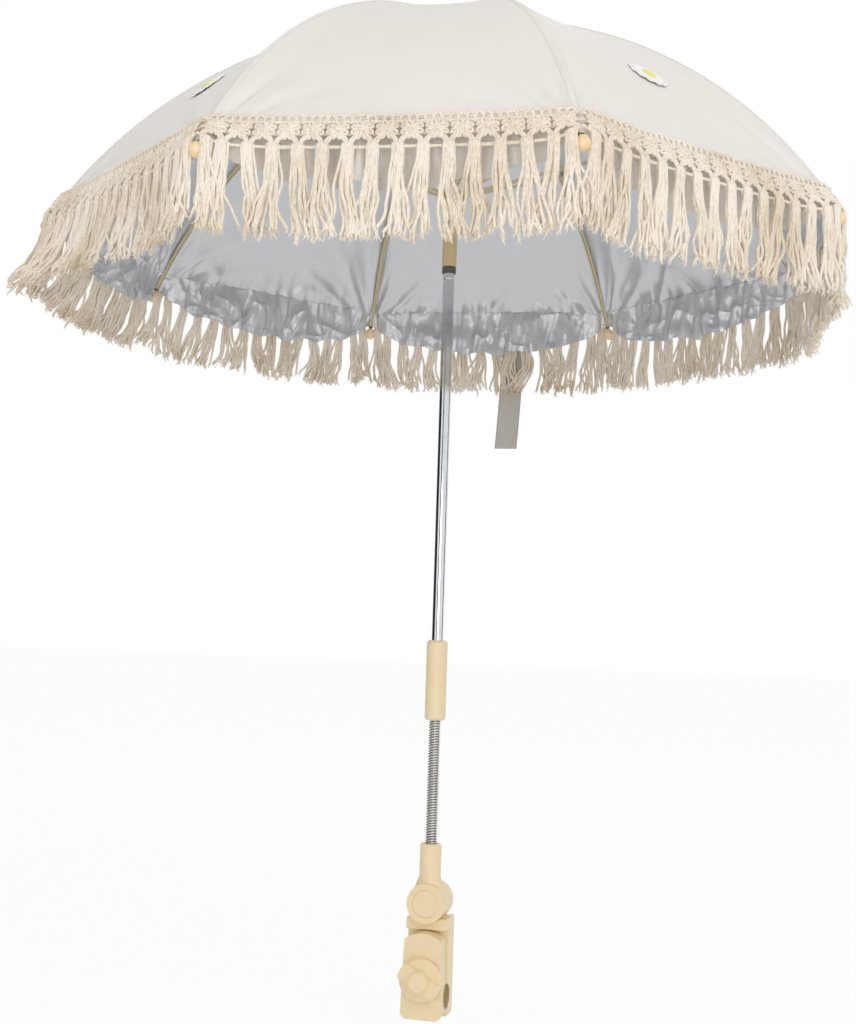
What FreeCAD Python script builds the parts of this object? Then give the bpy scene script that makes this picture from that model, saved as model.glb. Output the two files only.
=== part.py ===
"""Pram parasol: clamp, swivel arm, gooseneck, pole, folding frame and fringed canopy.

Millimetres, +Z up along the pole. The origin is the centre of the clamp mouth, where the
pram's tube lies along X. The clamp's knob faces -Y.
"""
import FreeCAD, Part
import Sketcher
import math
import os

RIB_COUNT = 8
FOLDS_PER_PANEL = 6
TASSELS_PER_HALF_SIDE = 7
CLOTH_BANDS = 14
RUNNER_RING_COUNT = 3
PIN_SIDES = 8
BEAD_SIDES = 16
COIL_SIDES = 3

SIZES = {
    # canopy dome, measured on the fabric
    "rim_height": 687.0,
    "rim_radius": 372.0,
    "dome_height": 230.0,
    "arc_radius": 475.0,
    "canopy_turn": 6.0,
    "fabric_thickness": 1.0,
    "crown_hole_radius": 4.0,
    "seam_height": 20.0,
    # ruffle under the gathered seam
    "ruffle_drop": 51.0,
    "ruffle_fold_depth": 3.0,
    "ruffle_flare": 5.0,
    # macrame band and tassels
    "band_height": 27.0,
    "band_top": 24.0,
    "band_spread": 18.0,
    "band_thickness": 2.4,
    "corner_lift": 11.0,
    "tassel_length": 64.0,
    "tassel_gap": 3.0,
    "corner_gap": 8.0,
    # closing strap
    "strap_width": 26.0,
    "strap_thickness": 1.2,
    "strap_drop": 140.0,
    "strap_shift": -24.0,
    "strap_tuck": 4.0,
    # ribs, stretchers and their hinges
    "rib_width": 3.6,
    "rib_depth": 3.4,
    "channel_wall": 0.7,
    "rib_start": 10.0,
    "stretcher_angle": 29.3,
    "stretcher_width": 3.2,
    "stretcher_depth": 3.2,
    "tab_thickness": 2.4,
    "tab_height": 3.0,
    "tab_length": 14.0,
    "eye_bore": 0.75,
    "wire_radius": 0.6,
    "hinge_circle": 9.5,
    "fork_length": 18.0,
    "bridge_length": 4.0,
    "cheek_thickness": 0.8,
    "rivet_radius": 0.8,
    "rivet_proud": 0.5,
    # rib tips
    "bead_radius": 5.0,
    "bead_length": 12.0,
    "bead_edge": 1.5,
    "bead_overlap": 3.0,
    "tang_side": 2.2,
    "tang_back": 4.0,
    "tang_front": 8.0,
    # crown and cap
    "hub_radius": 14.0,
    "hub_below": 5.0,
    "hub_above": 1.3,
    "hub_core_radius": 7.2,
    "hub_roof": 3.0,
    "crown_collar": 6.0,
    "cap_radius": 16.0,
    "cap_height": 12.0,
    "cap_lip": 2.0,
    "cap_shoulder": 5.0,
    "cap_stem_radius": 2.5,
    # runner
    "runner_wall": 0.9,
    "runner_length": 70.0,
    "runner_shoulder": 4.0,
    "ring_pitch": 8.4,
    "ring_depth": 0.35,
    # pole
    "tube_radius": 5.5,
    "tube_wall": 0.8,
    "tube_groove_height": 665.5,
    "tube_groove_width": 1.6,
    "tube_groove_depth": 0.35,
    # grip and gooseneck
    "grip_radius": 9.8,
    "grip_bottom": 250.0,
    "grip_top": 324.0,
    "grip_rounding": 2.0,
    "socket_depth": 8.0,
    "coil_radius": 4.3,
    "coil_wire": 1.3,
    "coil_pitch": 5.1,
    "core_radius": 2.7,
    # swivel arm
    "arm_top": 137.0,
    "arm_radius": 9.9,
    "pivot_height": 84.0,
    "disc_radius": 18.0,
    "disc_front": 14.0,
    "disc_back": 4.0,
    "neck_height": 24.0,
    "pivot_cap_radius": 12.4,
    "pivot_cap_depth": 3.0,
    "pivot_cap_proud": 1.0,
    "pivot_bolt_radius": 3.0,
    "pivot_head_radius": 5.5,
    "pivot_head_height": 4.0,
    # clamp
    "clamp_width": 38.0,
    "clamp_bottom": 18.0,
    "mouth_radius": 11.5,
    "pad_bore": 10.0,
    "pad_reach": 68.0,
    "jaw_front": 21.0,
    "jaw_top": 59.0,
    "jaw_shoulder": 53.0,
    "jaw_arch_radius": 33.0,
    "jaw_top_width": 34.0,
    "jaw_corner": 6.0,
    "jaw_split": 0.2,
    "tongue_width": 12.0,
    "tongue_low": 42.0,
    "tongue_high": 50.0,
    "tongue_length": 14.0,
    "body_back": 22.0,
    "body_top": 70.0,
    "body_front": 8.0,
    "body_corner": 5.0,
    "ear_back": 20.0,
    "screw_height": 18.0,
    "screw_radius": 3.0,
    "screw_reach": 17.0,
    "nut_radius": 5.6,
    "nut_height": 5.0,
    "nut_front": 3.0,
    # knob
    "knob_radius": 20.0,
    "knob_disc": 5.0,
    "knob_edge": 1.5,
    "knob_draft": 0.7,
    "knob_wing": 10.0,
    "knob_wing_width": 15.0,
    "knob_wing_turn": 30.0,
    "knob_hub_radius": 10.0,
    "knob_hub": 14.0,
    "knob_cap_radius": 8.3,
    "knob_cap_depth": 2.0,
    "knob_cap_proud": 0.8,
    "cap_edge": 0.7,
    "knob_head_radius": 5.5,
    "knob_head_height": 4.0,
    "washer_radius": 9.0,
    "washer_thickness": 1.0,
    # clearances
    "fit_gap": 0.05,
    "slide_gap": 0.2,
    "part_gap": 0.3,
    "cloth_gap": 0.9,
    "overcut": 1.0,
}


class Size:
    """A number that also holds the spreadsheet expression it comes from."""

    def __init__(self, value, text):
        self.value = float(value)
        self.text = text

    def __add__(self, other):
        return Size(self.value + number(other), f"({self.text} + {words(other)})")

    def __radd__(self, other):
        return Size(number(other) + self.value, f"({words(other)} + {self.text})")

    def __sub__(self, other):
        return Size(self.value - number(other), f"({self.text} - {words(other)})")

    def __rsub__(self, other):
        return Size(number(other) - self.value, f"({words(other)} - {self.text})")

    def __mul__(self, other):
        return Size(self.value * number(other), f"({self.text} * {words(other)})")

    def __rmul__(self, other):
        return Size(number(other) * self.value, f"({words(other)} * {self.text})")

    def __truediv__(self, other):
        return Size(self.value / number(other), f"({self.text} / {words(other)})")

    def __neg__(self):
        return Size(-self.value, f"(0 - {self.text})")


def number(quantity):
    """The plain number in a Size or a number."""
    return quantity.value if isinstance(quantity, Size) else float(quantity)


def words(quantity):
    """The expression text of a Size or a number."""
    return quantity.text if isinstance(quantity, Size) else repr(float(quantity))


def root(size):
    """Square root."""
    return Size(math.sqrt(size.value), f"sqrt({size.text})")


def sine(size):
    """Sine of an angle in degrees."""
    return Size(math.sin(math.radians(size.value)), f"sin({size.text})")


def cosine(size):
    """Cosine of an angle in degrees."""
    return Size(math.cos(math.radians(size.value)), f"cos({size.text})")


def arc_sine(size):
    """Angle in degrees of a sine, as a plain number."""
    return Size(math.degrees(math.asin(size.value)), f"(asin({size.text}) / 1 deg)")


doc = FreeCAD.newDocument("PramParasol")
sheet = doc.addObject("Spreadsheet::Sheet", "Sizes")
for row, (alias, value) in enumerate(SIZES.items(), start=1):
    sheet.set(f"A{row}", alias)
    sheet.set(f"B{row}", str(value))
    sheet.setAlias(f"B{row}", alias)
doc.recompute()


def size(alias):
    """The named size, bound to its cell."""
    return Size(SIZES[alias], f"Sizes.{alias}")


def bind(thing, field, quantity):
    """Tie a property to the sheet, or set it to a plain number."""
    thing.setExpression(field, words(quantity))


def place(thing, base=(0, 0, 0), axis=(0, 0, 1), angle=0.0):
    """Put an object at a point, turned about an axis, with both tied to the sheet."""
    point = FreeCAD.Vector(*[number(value) for value in base])
    turn = FreeCAD.Rotation(FreeCAD.Vector(*axis), number(angle))
    thing.Placement = FreeCAD.Placement(point, turn)
    for letter, value in zip("xyz", base):
        if isinstance(value, Size):
            thing.setExpression(f"Placement.Base.{letter}", value.text)
    if isinstance(angle, Size):
        thing.setExpression("Placement.Rotation.Angle", angle.text)
    return thing


def cylinder(name, radius, height, base=(0, 0, 0), axis=(0, 0, 1), angle=0.0):
    """A round bar along Z before it is turned."""
    bar = doc.addObject("Part::Cylinder", name)
    bind(bar, "Radius", radius)
    bind(bar, "Height", height)
    return place(bar, base, axis, angle)


def block(name, length, width, height, base=(0, 0, 0)):
    """A box from its lowest corner."""
    box = doc.addObject("Part::Box", name)
    bind(box, "Length", length)
    bind(box, "Width", width)
    bind(box, "Height", height)
    return place(box, base)


def fuse(name, parts):
    """One solid out of several."""
    joined = doc.addObject("Part::MultiFuse", name)
    joined.Shapes = parts
    return joined


def cut(name, base, tools):
    """A solid less the tools."""
    less = doc.addObject("Part::Cut", name)
    less.Base = base
    less.Tool = tools[0] if len(tools) == 1 else fuse(name + "_tools", tools)
    return less


def sided_bar(name, sides, radius, height, base, axis, angle):
    """A bar with flat sides, given by its corner radius."""
    shape = doc.addObject("Part::Prism", name)
    shape.Polygon = sides
    bind(shape, "Circumradius", radius)
    bind(shape, "Height", height)
    return place(shape, base, axis, angle)


def hexagon(name, radius, height, base, axis, angle):
    """A hexagonal prism given by its corner radius."""
    return sided_bar(name, 6, radius, height, base, axis, angle)


def new_body(name):
    """An empty PartDesign body."""
    return doc.addObject("PartDesign::Body", name)


def sketch_on(body, name, role, offset=0.0):
    """A sketch on one of the body's own planes, moved along the plane's normal."""
    plane = [item for item in body.Origin.OriginFeatures if item.Role == role][0]
    drawing = body.newObject("Sketcher::SketchObject", name)
    drawing.AttachmentSupport = [(plane, "")]
    drawing.MapMode = "FlatFace"
    drawing.AttachmentOffset = FreeCAD.Placement(FreeCAD.Vector(0, 0, number(offset)), FreeCAD.Rotation())
    if isinstance(offset, Size):
        drawing.setExpression("AttachmentOffset.Base.z", offset.text)
    return drawing


def arc_between(start, end, radius):
    """The minor arc from start to end: centre on the left for a positive radius."""
    chord = end.sub(start)
    middle = start.add(end).multiply(0.5)
    left = FreeCAD.Vector(-chord.y, chord.x, 0).normalize()
    rise = math.sqrt(max(radius * radius - chord.Length ** 2 / 4, 0.0))
    centre = middle.add(left.multiply(rise if radius > 0 else -rise))
    circle = Part.Circle(centre, FreeCAD.Vector(0, 0, 1), abs(radius))
    first, last = (start, end) if radius > 0 else (end, start)
    first_angle = math.atan2(first.y - centre.y, first.x - centre.x)
    last_angle = math.atan2(last.y - centre.y, last.x - centre.x)
    return Part.ArcOfCircle(circle, first_angle, last_angle)


def fix_point(drawing, item, end, x, y):
    """Tie one point of a sketch to the sheet."""
    for kind, axis_item, value in (("DistanceX", -2, x), ("DistanceY", -1, y)):
        if not isinstance(value, Size) and value == 0:
            drawing.addConstraint(Sketcher.Constraint("PointOnObject", item, end, axis_item))
            continue
        index = drawing.addConstraint(Sketcher.Constraint(kind, -1, 1, item, end, number(value)))
        if isinstance(value, Size):
            drawing.setExpression(f"Constraints[{index}]", value.text)


def draw_outline(drawing, outline):
    """A closed outline of (x, y) or (x, y, arc radius to the next point)."""
    points = [FreeCAD.Vector(number(corner[0]), number(corner[1]), 0) for corner in outline]
    starts = []
    ends = []
    for index, corner in enumerate(outline):
        start = points[index]
        end = points[(index + 1) % len(points)]
        if len(corner) == 3:
            drawing.addGeometry(arc_between(start, end, number(corner[2])), False)
            forward = number(corner[2]) > 0
            starts.append(1 if forward else 2)
            ends.append(2 if forward else 1)
        else:
            drawing.addGeometry(Part.LineSegment(start, end), False)
            starts.append(1)
            ends.append(2)
    count = len(outline)
    for index in range(count):
        following = (index + 1) % count
        drawing.addConstraint(Sketcher.Constraint("Coincident", index, ends[index], following, starts[following]))
    for index, corner in enumerate(outline):
        fix_point(drawing, index, starts[index], corner[0], corner[1])
        if len(corner) == 3:
            radius = corner[2] if number(corner[2]) > 0 else -corner[2]
            place_of = drawing.addConstraint(Sketcher.Constraint("Radius", index, number(radius)))
            drawing.setExpression(f"Constraints[{place_of}]", words(radius))


def revolved(name, outline, angle=360.0, role="XZ_Plane", about="V_Axis"):
    """A PartDesign body turned from an outline."""
    body = new_body(name)
    drawing = sketch_on(body, name + "_profile", role)
    draw_outline(drawing, outline)
    turned = body.newObject("PartDesign::Revolution", name + "_turned")
    turned.Profile = drawing
    turned.ReferenceAxis = (drawing, [about])
    bind(turned, "Angle", angle)
    return body


def prism(name, outline, role, offset, length):
    """A PartDesign body padded from an outline along its plane's normal."""
    body = new_body(name)
    drawing = sketch_on(body, name + "_outline", role, offset)
    draw_outline(drawing, outline)
    pad = body.newObject("PartDesign::Pad", name + "_pad")
    pad.Profile = drawing
    bind(pad, "Length", length)
    return body


NODES = []


def node(name, thing):
    """Name a finished sub-part."""
    thing.Label = name
    NODES.append((name, thing))
    return thing


# Places on the frame that several pieces share
fit_gap = size("fit_gap")
slide_gap = size("slide_gap")
part_gap = size("part_gap")
overcut = size("overcut")

chord_length = root(size("rim_radius") * size("rim_radius") + size("dome_height") * size("dome_height"))
arc_reach = root(size("arc_radius") * size("arc_radius") - chord_length * chord_length / 4)
centre_out = size("rim_radius") / 2 - arc_reach * size("dome_height") / chord_length
centre_up = size("rim_height") + size("dome_height") / 2 - arc_reach * size("rim_radius") / chord_length

fabric_inside = size("arc_radius") - size("fabric_thickness")
rib_top = fabric_inside - size("cloth_gap")
rib_line = rib_top - size("rib_depth") / 2

crown_sine = (size("hinge_circle") - centre_out) / rib_line
crown_angle = arc_sine(crown_sine)
crown_up = centre_up + rib_line * cosine(crown_angle)
elbow_angle = crown_angle + size("stretcher_angle")
elbow_out = centre_out + rib_line * sine(elbow_angle)
elbow_up = centre_up + rib_line * cosine(elbow_angle)
runner_up = elbow_up * 2 - crown_up
elbow_run = elbow_out - size("hinge_circle")
elbow_drop = crown_up - elbow_up
stretcher_length = root(elbow_run * elbow_run + elbow_drop * elbow_drop)
stretcher_rise = arc_sine(elbow_drop / stretcher_length)
rim_angle = arc_sine((size("rim_radius") - centre_out) / size("arc_radius"))
tip_angle = rim_angle - size("bead_overlap") / size("arc_radius") * (180 / math.pi)
tip_out = centre_out + rib_line * sine(tip_angle)
tip_up = centre_up + rib_line * cosine(tip_angle)
tube_top = crown_up - size("hub_roof") + size("hub_above") - fit_gap


def fabric_up(out):
    """Height of the cloth's outside at a distance from the pole."""
    away = out - centre_out
    return centre_up + root(size("arc_radius") * size("arc_radius") - away * away)


def rib_direction(index):
    """Angle about Z, from +X, of a rib: rib_1 is the front right one."""
    step = 360 / RIB_COUNT
    return size("canopy_turn") + (step / 2 + step * index - 90)


# Clamp

def mouth_hole(name):
    """The clamp mouth, through the whole width."""
    width = size("clamp_width")
    base = (-width, 0, 0)
    return cylinder(name, size("mouth_radius"), width * 2, base, (0, 1, 0), 90)


def make_clamp_body():
    """Rear jaw, upper block and pivot ear in one moulding."""
    half = size("clamp_width") / 2
    corner = size("body_corner")
    back = size("body_back")
    low = -size("clamp_bottom")
    split = size("jaw_split")
    lintel = size("jaw_top") + size("part_gap") * 4
    side = prism("clamp_side", [
        (split, low),
        (back - corner, low, corner),
        (back, low + corner),
        (back, size("body_top")),
        (-size("body_front"), size("body_top")),
        (-size("body_front"), lintel),
        (split, lintel),
    ], "YZ_Plane", -half, size("clamp_width"))
    pivot = size("pivot_height")
    ear_front = size("disc_back") + part_gap
    ear = cylinder("clamp_ear", size("disc_radius"), size("ear_back") - ear_front,
                   (0, size("ear_back"), pivot), (1, 0, 0), 90)
    solid = fuse("clamp_solid", [side, ear])
    seat_depth = size("body_front") + ear_front + overcut
    seat = cylinder("clamp_seat", size("disc_radius") + part_gap, seat_depth,
                    (0, ear_front, pivot), (1, 0, 0), 90)
    screw_up = size("screw_height")
    screw_end = size("screw_reach") + overcut
    screw_way = cylinder("clamp_screw_way", size("screw_radius") + part_gap, screw_end,
                         (0, screw_end, screw_up), (1, 0, 0), 90)
    nut_pocket = hexagon("clamp_nut_pocket", size("nut_radius") + fit_gap,
                         size("nut_front") + size("nut_height") + fit_gap,
                         (0, size("nut_front") + size("nut_height") + fit_gap, screw_up), (1, 0, 0), 90)
    bolt_way = cylinder("clamp_bolt_way", size("pivot_bolt_radius") + fit_gap, size("ear_back") * 2,
                        (0, size("ear_back") * 1.5, pivot), (1, 0, 0), 90)
    pivot_nut_pocket = hexagon("clamp_pivot_pocket", size("nut_radius") + fit_gap, size("nut_height") + overcut,
                               (0, size("ear_back") + overcut, pivot), (1, 0, 0), 90)
    tongue_way = block("clamp_tongue_way", size("tongue_width") + part_gap * 2, size("tongue_length") + overcut * 2,
                       size("tongue_high") - size("tongue_low") + part_gap * 2,
                       (-size("tongue_width") / 2 - part_gap, 0, size("tongue_low") - part_gap))
    tools = [mouth_hole("clamp_mouth"), seat, screw_way, nut_pocket, bolt_way, pivot_nut_pocket, tongue_way]
    node("clamp_body", cut("clamp_body", solid, tools))


def make_pad(name, behind):
    """A rubber liner in one half of the mouth."""
    outer = size("mouth_radius") - fit_gap
    inner = size("pad_bore")
    reach = size("pad_reach")
    far = (outer * cosine(reach), outer * sine(reach))
    near = (inner * cosine(reach), inner * sine(reach))
    pad = prism(name, [
        (far[0], -far[1], outer),
        (far[0], far[1]),
        (near[0], near[1], -inner),
        (near[0], -near[1]),
    ], "YZ_Plane", -size("clamp_width") / 2, size("clamp_width"))
    place(pad, (0, 0, 0), (1, 0, 0), 0.0 if behind else 180.0)
    node(name, pad)


def make_front_jaw():
    """Moving jaw with an arched top and a guide tongue."""
    half = size("clamp_width") / 2
    half_top = size("jaw_top_width") / 2
    corner = size("jaw_corner")
    low = -size("clamp_bottom")
    arch = size("jaw_arch_radius")
    depth = size("jaw_front") - size("jaw_split")
    face = prism("jaw_face", [
        (-half + corner, low),
        (half - corner, low, corner),
        (half, low + corner),
        (half_top, size("jaw_shoulder"), arch),
        (0, size("jaw_top"), arch),
        (-half_top, size("jaw_shoulder")),
        (-half, low + corner, corner),
    ], "XZ_Plane", size("jaw_split"), depth)
    tongue = block("jaw_tongue", size("tongue_width"), size("tongue_length") + size("jaw_split") + overcut,
                   size("tongue_high") - size("tongue_low"),
                   (-size("tongue_width") / 2, -size("jaw_split") - overcut, size("tongue_low")))
    screw_way = cylinder("jaw_screw_way", size("screw_radius") + part_gap, size("jaw_front") * 2,
                         (0, overcut, size("screw_height")), (1, 0, 0), 90)
    solid = fuse("jaw_solid", [face, tongue])
    node("front_jaw", cut("front_jaw", solid, [mouth_hole("jaw_mouth"), screw_way]))


def make_nut(name, front, up):
    """A plain hexagonal nut on the Y axis."""
    outer = hexagon(name + "_outer", size("nut_radius"), size("nut_height"),
                    (0, front + size("nut_height"), up), (1, 0, 0), 90)
    bore = cylinder(name + "_bore", size("screw_radius") + fit_gap, size("nut_height") * 3,
                    (0, front + size("nut_height") * 2, up), (1, 0, 0), 90)
    node(name, cut(name, outer, [bore]))


def make_knob():
    """Winged knob, its cap, the screw that turns with it and a washer."""
    up = size("screw_height")
    washer_front = size("jaw_front") + size("washer_thickness") + fit_gap * 2
    washer_bore = cylinder("washer_bore", size("screw_radius") + fit_gap, size("washer_thickness") * 3,
                           (0, 0, -size("washer_thickness")))
    washer_disc = cylinder("washer_disc", size("washer_radius"), size("washer_thickness"))
    washer = cut("knob_washer", washer_disc, [washer_bore])
    node("knob_washer", place(washer, (0, -size("jaw_front") - fit_gap, up), (1, 0, 0), 90))

    disc = size("knob_disc")
    rim = size("knob_radius")
    hub = size("knob_hub")
    hub_radius = size("knob_hub_radius")
    body = revolved("knob_disc_form", [
        (0, 0),
        (rim - size("knob_edge"), 0),
        (rim, disc / 2),
        (rim - size("knob_edge"), disc),
        (hub_radius, disc),
        (hub_radius - size("knob_draft"), hub),
        (0, hub),
    ])
    wing_half = size("knob_wing_width") / 2
    wing_run = root(rim * rim - wing_half * wing_half)
    wing = prism("knob_wing_form", [
        (-wing_run, -wing_half),
        (wing_run, -wing_half, rim),
        (wing_run, wing_half),
        (-wing_run, wing_half, rim),
    ], "XY_Plane", disc - overcut, size("knob_wing") - disc + overcut)
    place(wing, (0, 0, 0), (0, 0, 1), -size("knob_wing_turn"))
    solid = fuse("knob_solid", [body, wing])
    cap_depth = size("knob_cap_depth")
    cap_pocket = cylinder("knob_cap_pocket", size("knob_cap_radius") + fit_gap, cap_depth + overcut,
                          (0, 0, hub - cap_depth))
    head_floor = hub - cap_depth - size("knob_head_height") - fit_gap
    head_pocket = hexagon("knob_head_pocket", size("knob_head_radius") + fit_gap,
                          size("knob_head_height") + overcut,
                          (0, 0, head_floor), (0, 0, 1), 0)
    bore = cylinder("knob_bore", size("screw_radius") + fit_gap, hub * 2, (0, 0, -overcut))
    knob = cut("clamp_knob", solid, [cap_pocket, head_pocket, bore])
    front = -washer_front
    node("clamp_knob", place(knob, (0, front, up), (1, 0, 0), 90))

    cap = revolved("knob_cap_form", [
        (0, 0),
        (size("knob_cap_radius"), 0),
        (size("knob_cap_radius"), cap_depth),
        (size("knob_cap_radius") - size("cap_edge"), cap_depth + size("knob_cap_proud")),
        (0, cap_depth + size("knob_cap_proud")),
    ])
    node("knob_cap", place(cap, (0, front - hub + cap_depth, up), (1, 0, 0), 90))

    shaft_length = washer_front + head_floor + size("screw_reach")
    shaft = cylinder("screw_shaft", size("screw_radius"), shaft_length, (0, 0, head_floor - shaft_length))
    head = hexagon("screw_head", size("knob_head_radius"), size("knob_head_height"), (0, 0, head_floor),
                   (0, 0, 1), 0)
    screw = fuse("clamp_screw", [shaft, head])
    node("clamp_screw", place(screw, (0, front, up), (1, 0, 0), 90))


# Swivel arm and its pivot

def make_arm():
    """Socket, flared neck and pivot disc in one moulding."""
    pivot = size("pivot_height")
    disc_depth = size("disc_front") + size("disc_back")
    disc = cylinder("arm_disc", size("disc_radius"), disc_depth, (0, size("disc_back"), pivot), (1, 0, 0), 90)
    centre_y = (size("disc_back") - size("disc_front")) / 2
    neck_foot = doc.addObject("Part::Ellipse", "arm_neck_foot")
    bind(neck_foot, "MajorRadius", size("disc_radius"))
    bind(neck_foot, "MinorRadius", disc_depth / 2)
    place(neck_foot, (0, centre_y, pivot))
    neck_head = doc.addObject("Part::Circle", "arm_neck_head")
    bind(neck_head, "Radius", size("arm_radius"))
    place(neck_head, (0, 0, pivot + size("neck_height")))
    neck = doc.addObject("Part::Loft", "arm_neck")
    neck.Sections = [neck_foot, neck_head]
    neck.Solid = True
    neck.Ruled = True
    rounding = size("grip_rounding") / 2
    low = pivot + size("neck_height")
    socket = revolved("arm_socket", [
        (0, low),
        (size("arm_radius"), low),
        (size("arm_radius"), size("arm_top") - rounding),
        (size("arm_radius") - rounding, size("arm_top")),
        (0, size("arm_top")),
    ])
    solid = fuse("arm_solid", [disc, neck, socket])
    front = size("disc_front")
    recess = cylinder("arm_cap_recess", size("pivot_cap_radius") + fit_gap, size("pivot_cap_depth") + overcut,
                      (0, size("pivot_cap_depth") - front, pivot), (1, 0, 0), 90)
    head_depth = size("pivot_cap_depth") + size("pivot_head_height") + fit_gap
    head_recess = cylinder("arm_head_recess", size("pivot_head_radius") + part_gap, head_depth + overcut,
                           (0, head_depth - front, pivot), (1, 0, 0), 90)
    bolt_way = cylinder("arm_bolt_way", size("pivot_bolt_radius") + fit_gap, disc_depth * 2,
                        (0, size("disc_back") * 3, pivot), (1, 0, 0), 90)
    hose_bore = cylinder("arm_hose_bore", size("coil_radius") + size("coil_wire") + slide_gap,
                         size("socket_depth") + overcut,
                         (0, 0, size("arm_top") - size("socket_depth")))
    clear_back = block("arm_back_clearance", size("disc_radius") * 4, size("disc_radius") * 2,
                       size("disc_radius") + size("part_gap") * 2,
                       (-size("disc_radius") * 2, size("disc_back"), pivot))
    tools = [recess, head_recess, bolt_way, hose_bore, clear_back]
    node("swivel_arm", cut("swivel_arm", solid, tools))

    head_back = head_depth - front - fit_gap
    bolt_end = size("ear_back") - fit_gap
    head = cylinder("bolt_head", size("pivot_head_radius"), size("pivot_head_height"),
                    (0, head_back, pivot), (1, 0, 0), 90)
    shank = cylinder("bolt_shank", size("pivot_bolt_radius"), bolt_end - head_back + overcut,
                     (0, bolt_end, pivot), (1, 0, 0), 90)
    node("pivot_bolt", fuse("pivot_bolt", [head, shank]))
    cap = revolved("pivot_cap_form", [
        (0, 0),
        (size("pivot_cap_radius"), 0),
        (size("pivot_cap_radius"), size("pivot_cap_depth")),
        (size("pivot_cap_radius") - size("cap_edge"), size("pivot_cap_depth") + size("pivot_cap_proud")),
        (0, size("pivot_cap_depth") + size("pivot_cap_proud")),
    ])
    node("pivot_cap", place(cap, (0, size("pivot_cap_depth") - front, pivot), (1, 0, 0), 90))


# Gooseneck: one wire wound in a helix round a plain core

def helix_point(turn):
    """Point and direction on the coil's centre line after a number of turns."""
    radius = SIZES["coil_radius"]
    pitch = SIZES["coil_pitch"]
    angle = 2 * math.pi * turn
    point = FreeCAD.Vector(radius * math.cos(angle), radius * math.sin(angle), pitch * turn)
    direction = FreeCAD.Vector(-radius * math.sin(angle), radius * math.cos(angle), pitch / (2 * math.pi))
    return point, direction.normalize()


def arc_from(start, direction, end):
    """The arc that leaves start along direction and ends at end."""
    chord = end.sub(start)
    half_angle = direction.getAngle(chord)
    middle = start.add(end).multiply(0.5)
    control = start.add(direction * (chord.Length / 2 / math.cos(half_angle)))
    bow = control.sub(middle) * (math.tan(half_angle / 2) / math.tan(half_angle))
    return Part.Arc(start, middle.add(bow), end).toShape()


def biarc(turn, step):
    """Two tangent arcs along the coil from turn to turn + step."""
    start, leave = helix_point(turn)
    end, arrive = helix_point(turn + step)
    gap = end.sub(start)
    square = 2 * (1 - leave.dot(arrive))
    linear = 2 * gap.dot(leave.add(arrive))
    reach = (-linear + math.sqrt(linear * linear + 4 * square * gap.dot(gap))) / (2 * square)
    joint = start.add(end).add((leave.sub(arrive)) * reach).multiply(0.5)
    direction = joint.sub(start.add(leave * reach)).normalize()
    return [arc_from(start, leave, joint), arc_from(joint, direction, end)]


def coil_gap(turns):
    """Least gap between neighbouring turns, measured on points of the centre line."""
    samples = [helix_point(step / 24)[0] for step in range(int(turns * 24) + 1)]
    least = min(samples[index].distanceToPoint(other)
                for index in range(0, len(samples) - 36, 12)
                for other in samples[index + 16:index + 36])
    return least - 2 * SIZES["coil_wire"]


def make_gooseneck():
    """The wound wire, ridged to save faces, and the core inside it."""
    low = SIZES["arm_top"] - SIZES["socket_depth"] + SIZES["coil_wire"] + SIZES["overcut"]
    high = SIZES["grip_bottom"] + SIZES["socket_depth"] - SIZES["coil_wire"] - SIZES["overcut"]
    turns = math.floor((high - low) / SIZES["coil_pitch"] * 2) / 2
    edges = []
    start, leave = helix_point(0)
    lead = SIZES["coil_wire"]
    edges.append(Part.LineSegment(start.sub(leave * lead), start).toShape())
    half_turns = int(turns * 2)
    for half in range(half_turns):
        edges.extend(biarc(half / 2, 0.5))
    end, arrive = helix_point(turns)
    edges.append(Part.LineSegment(end, end.add(arrive * lead)).toShape())
    path = Part.Wire(edges)
    across = FreeCAD.Vector(1, 0, 0)
    upward = leave.cross(across).normalize()
    corners = []
    for side in range(COIL_SIDES):
        angle = 2 * math.pi * side / COIL_SIDES
        spoke = across * math.cos(angle) + upward * math.sin(angle)
        corners.append(start.sub(leave * lead).add(spoke * SIZES["coil_wire"]))
    section = Part.makePolygon(corners + corners[:1])
    coil = doc.addObject("Part::Feature", "gooseneck_coil")
    coil.Shape = path.makePipeShell([section], True, False)
    coil.Placement = FreeCAD.Placement(FreeCAD.Vector(0, 0, low), FreeCAD.Rotation())
    node("gooseneck_coil", coil)
    print(f"gooseneck: {turns} turns, least gap between turns {coil_gap(turns):.2f} mm")

    core_low = size("arm_top") - size("socket_depth")
    core_high = size("grip_bottom") + size("socket_depth")
    node("gooseneck_core", cylinder("gooseneck_core", size("core_radius"), core_high - core_low, (0, 0, core_low)))


# Grip and pole

def make_grip():
    """Moulded sleeve between the gooseneck and the tube."""
    rounding = size("grip_rounding")
    low = size("grip_bottom")
    high = size("grip_top")
    hose = size("coil_radius") + size("coil_wire") + slide_gap
    floor = low + size("socket_depth")
    tube = size("tube_radius") + fit_gap
    node("grip_sleeve", revolved("grip_sleeve_form", [
        (hose, low),
        (size("grip_radius") - rounding, low),
        (size("grip_radius"), low + rounding),
        (size("grip_radius"), high - rounding),
        (size("grip_radius") - rounding, high),
        (tube, high),
        (tube, floor + rounding),
        (0, floor + rounding),
        (0, floor),
        (hose, floor),
    ]))


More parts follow.
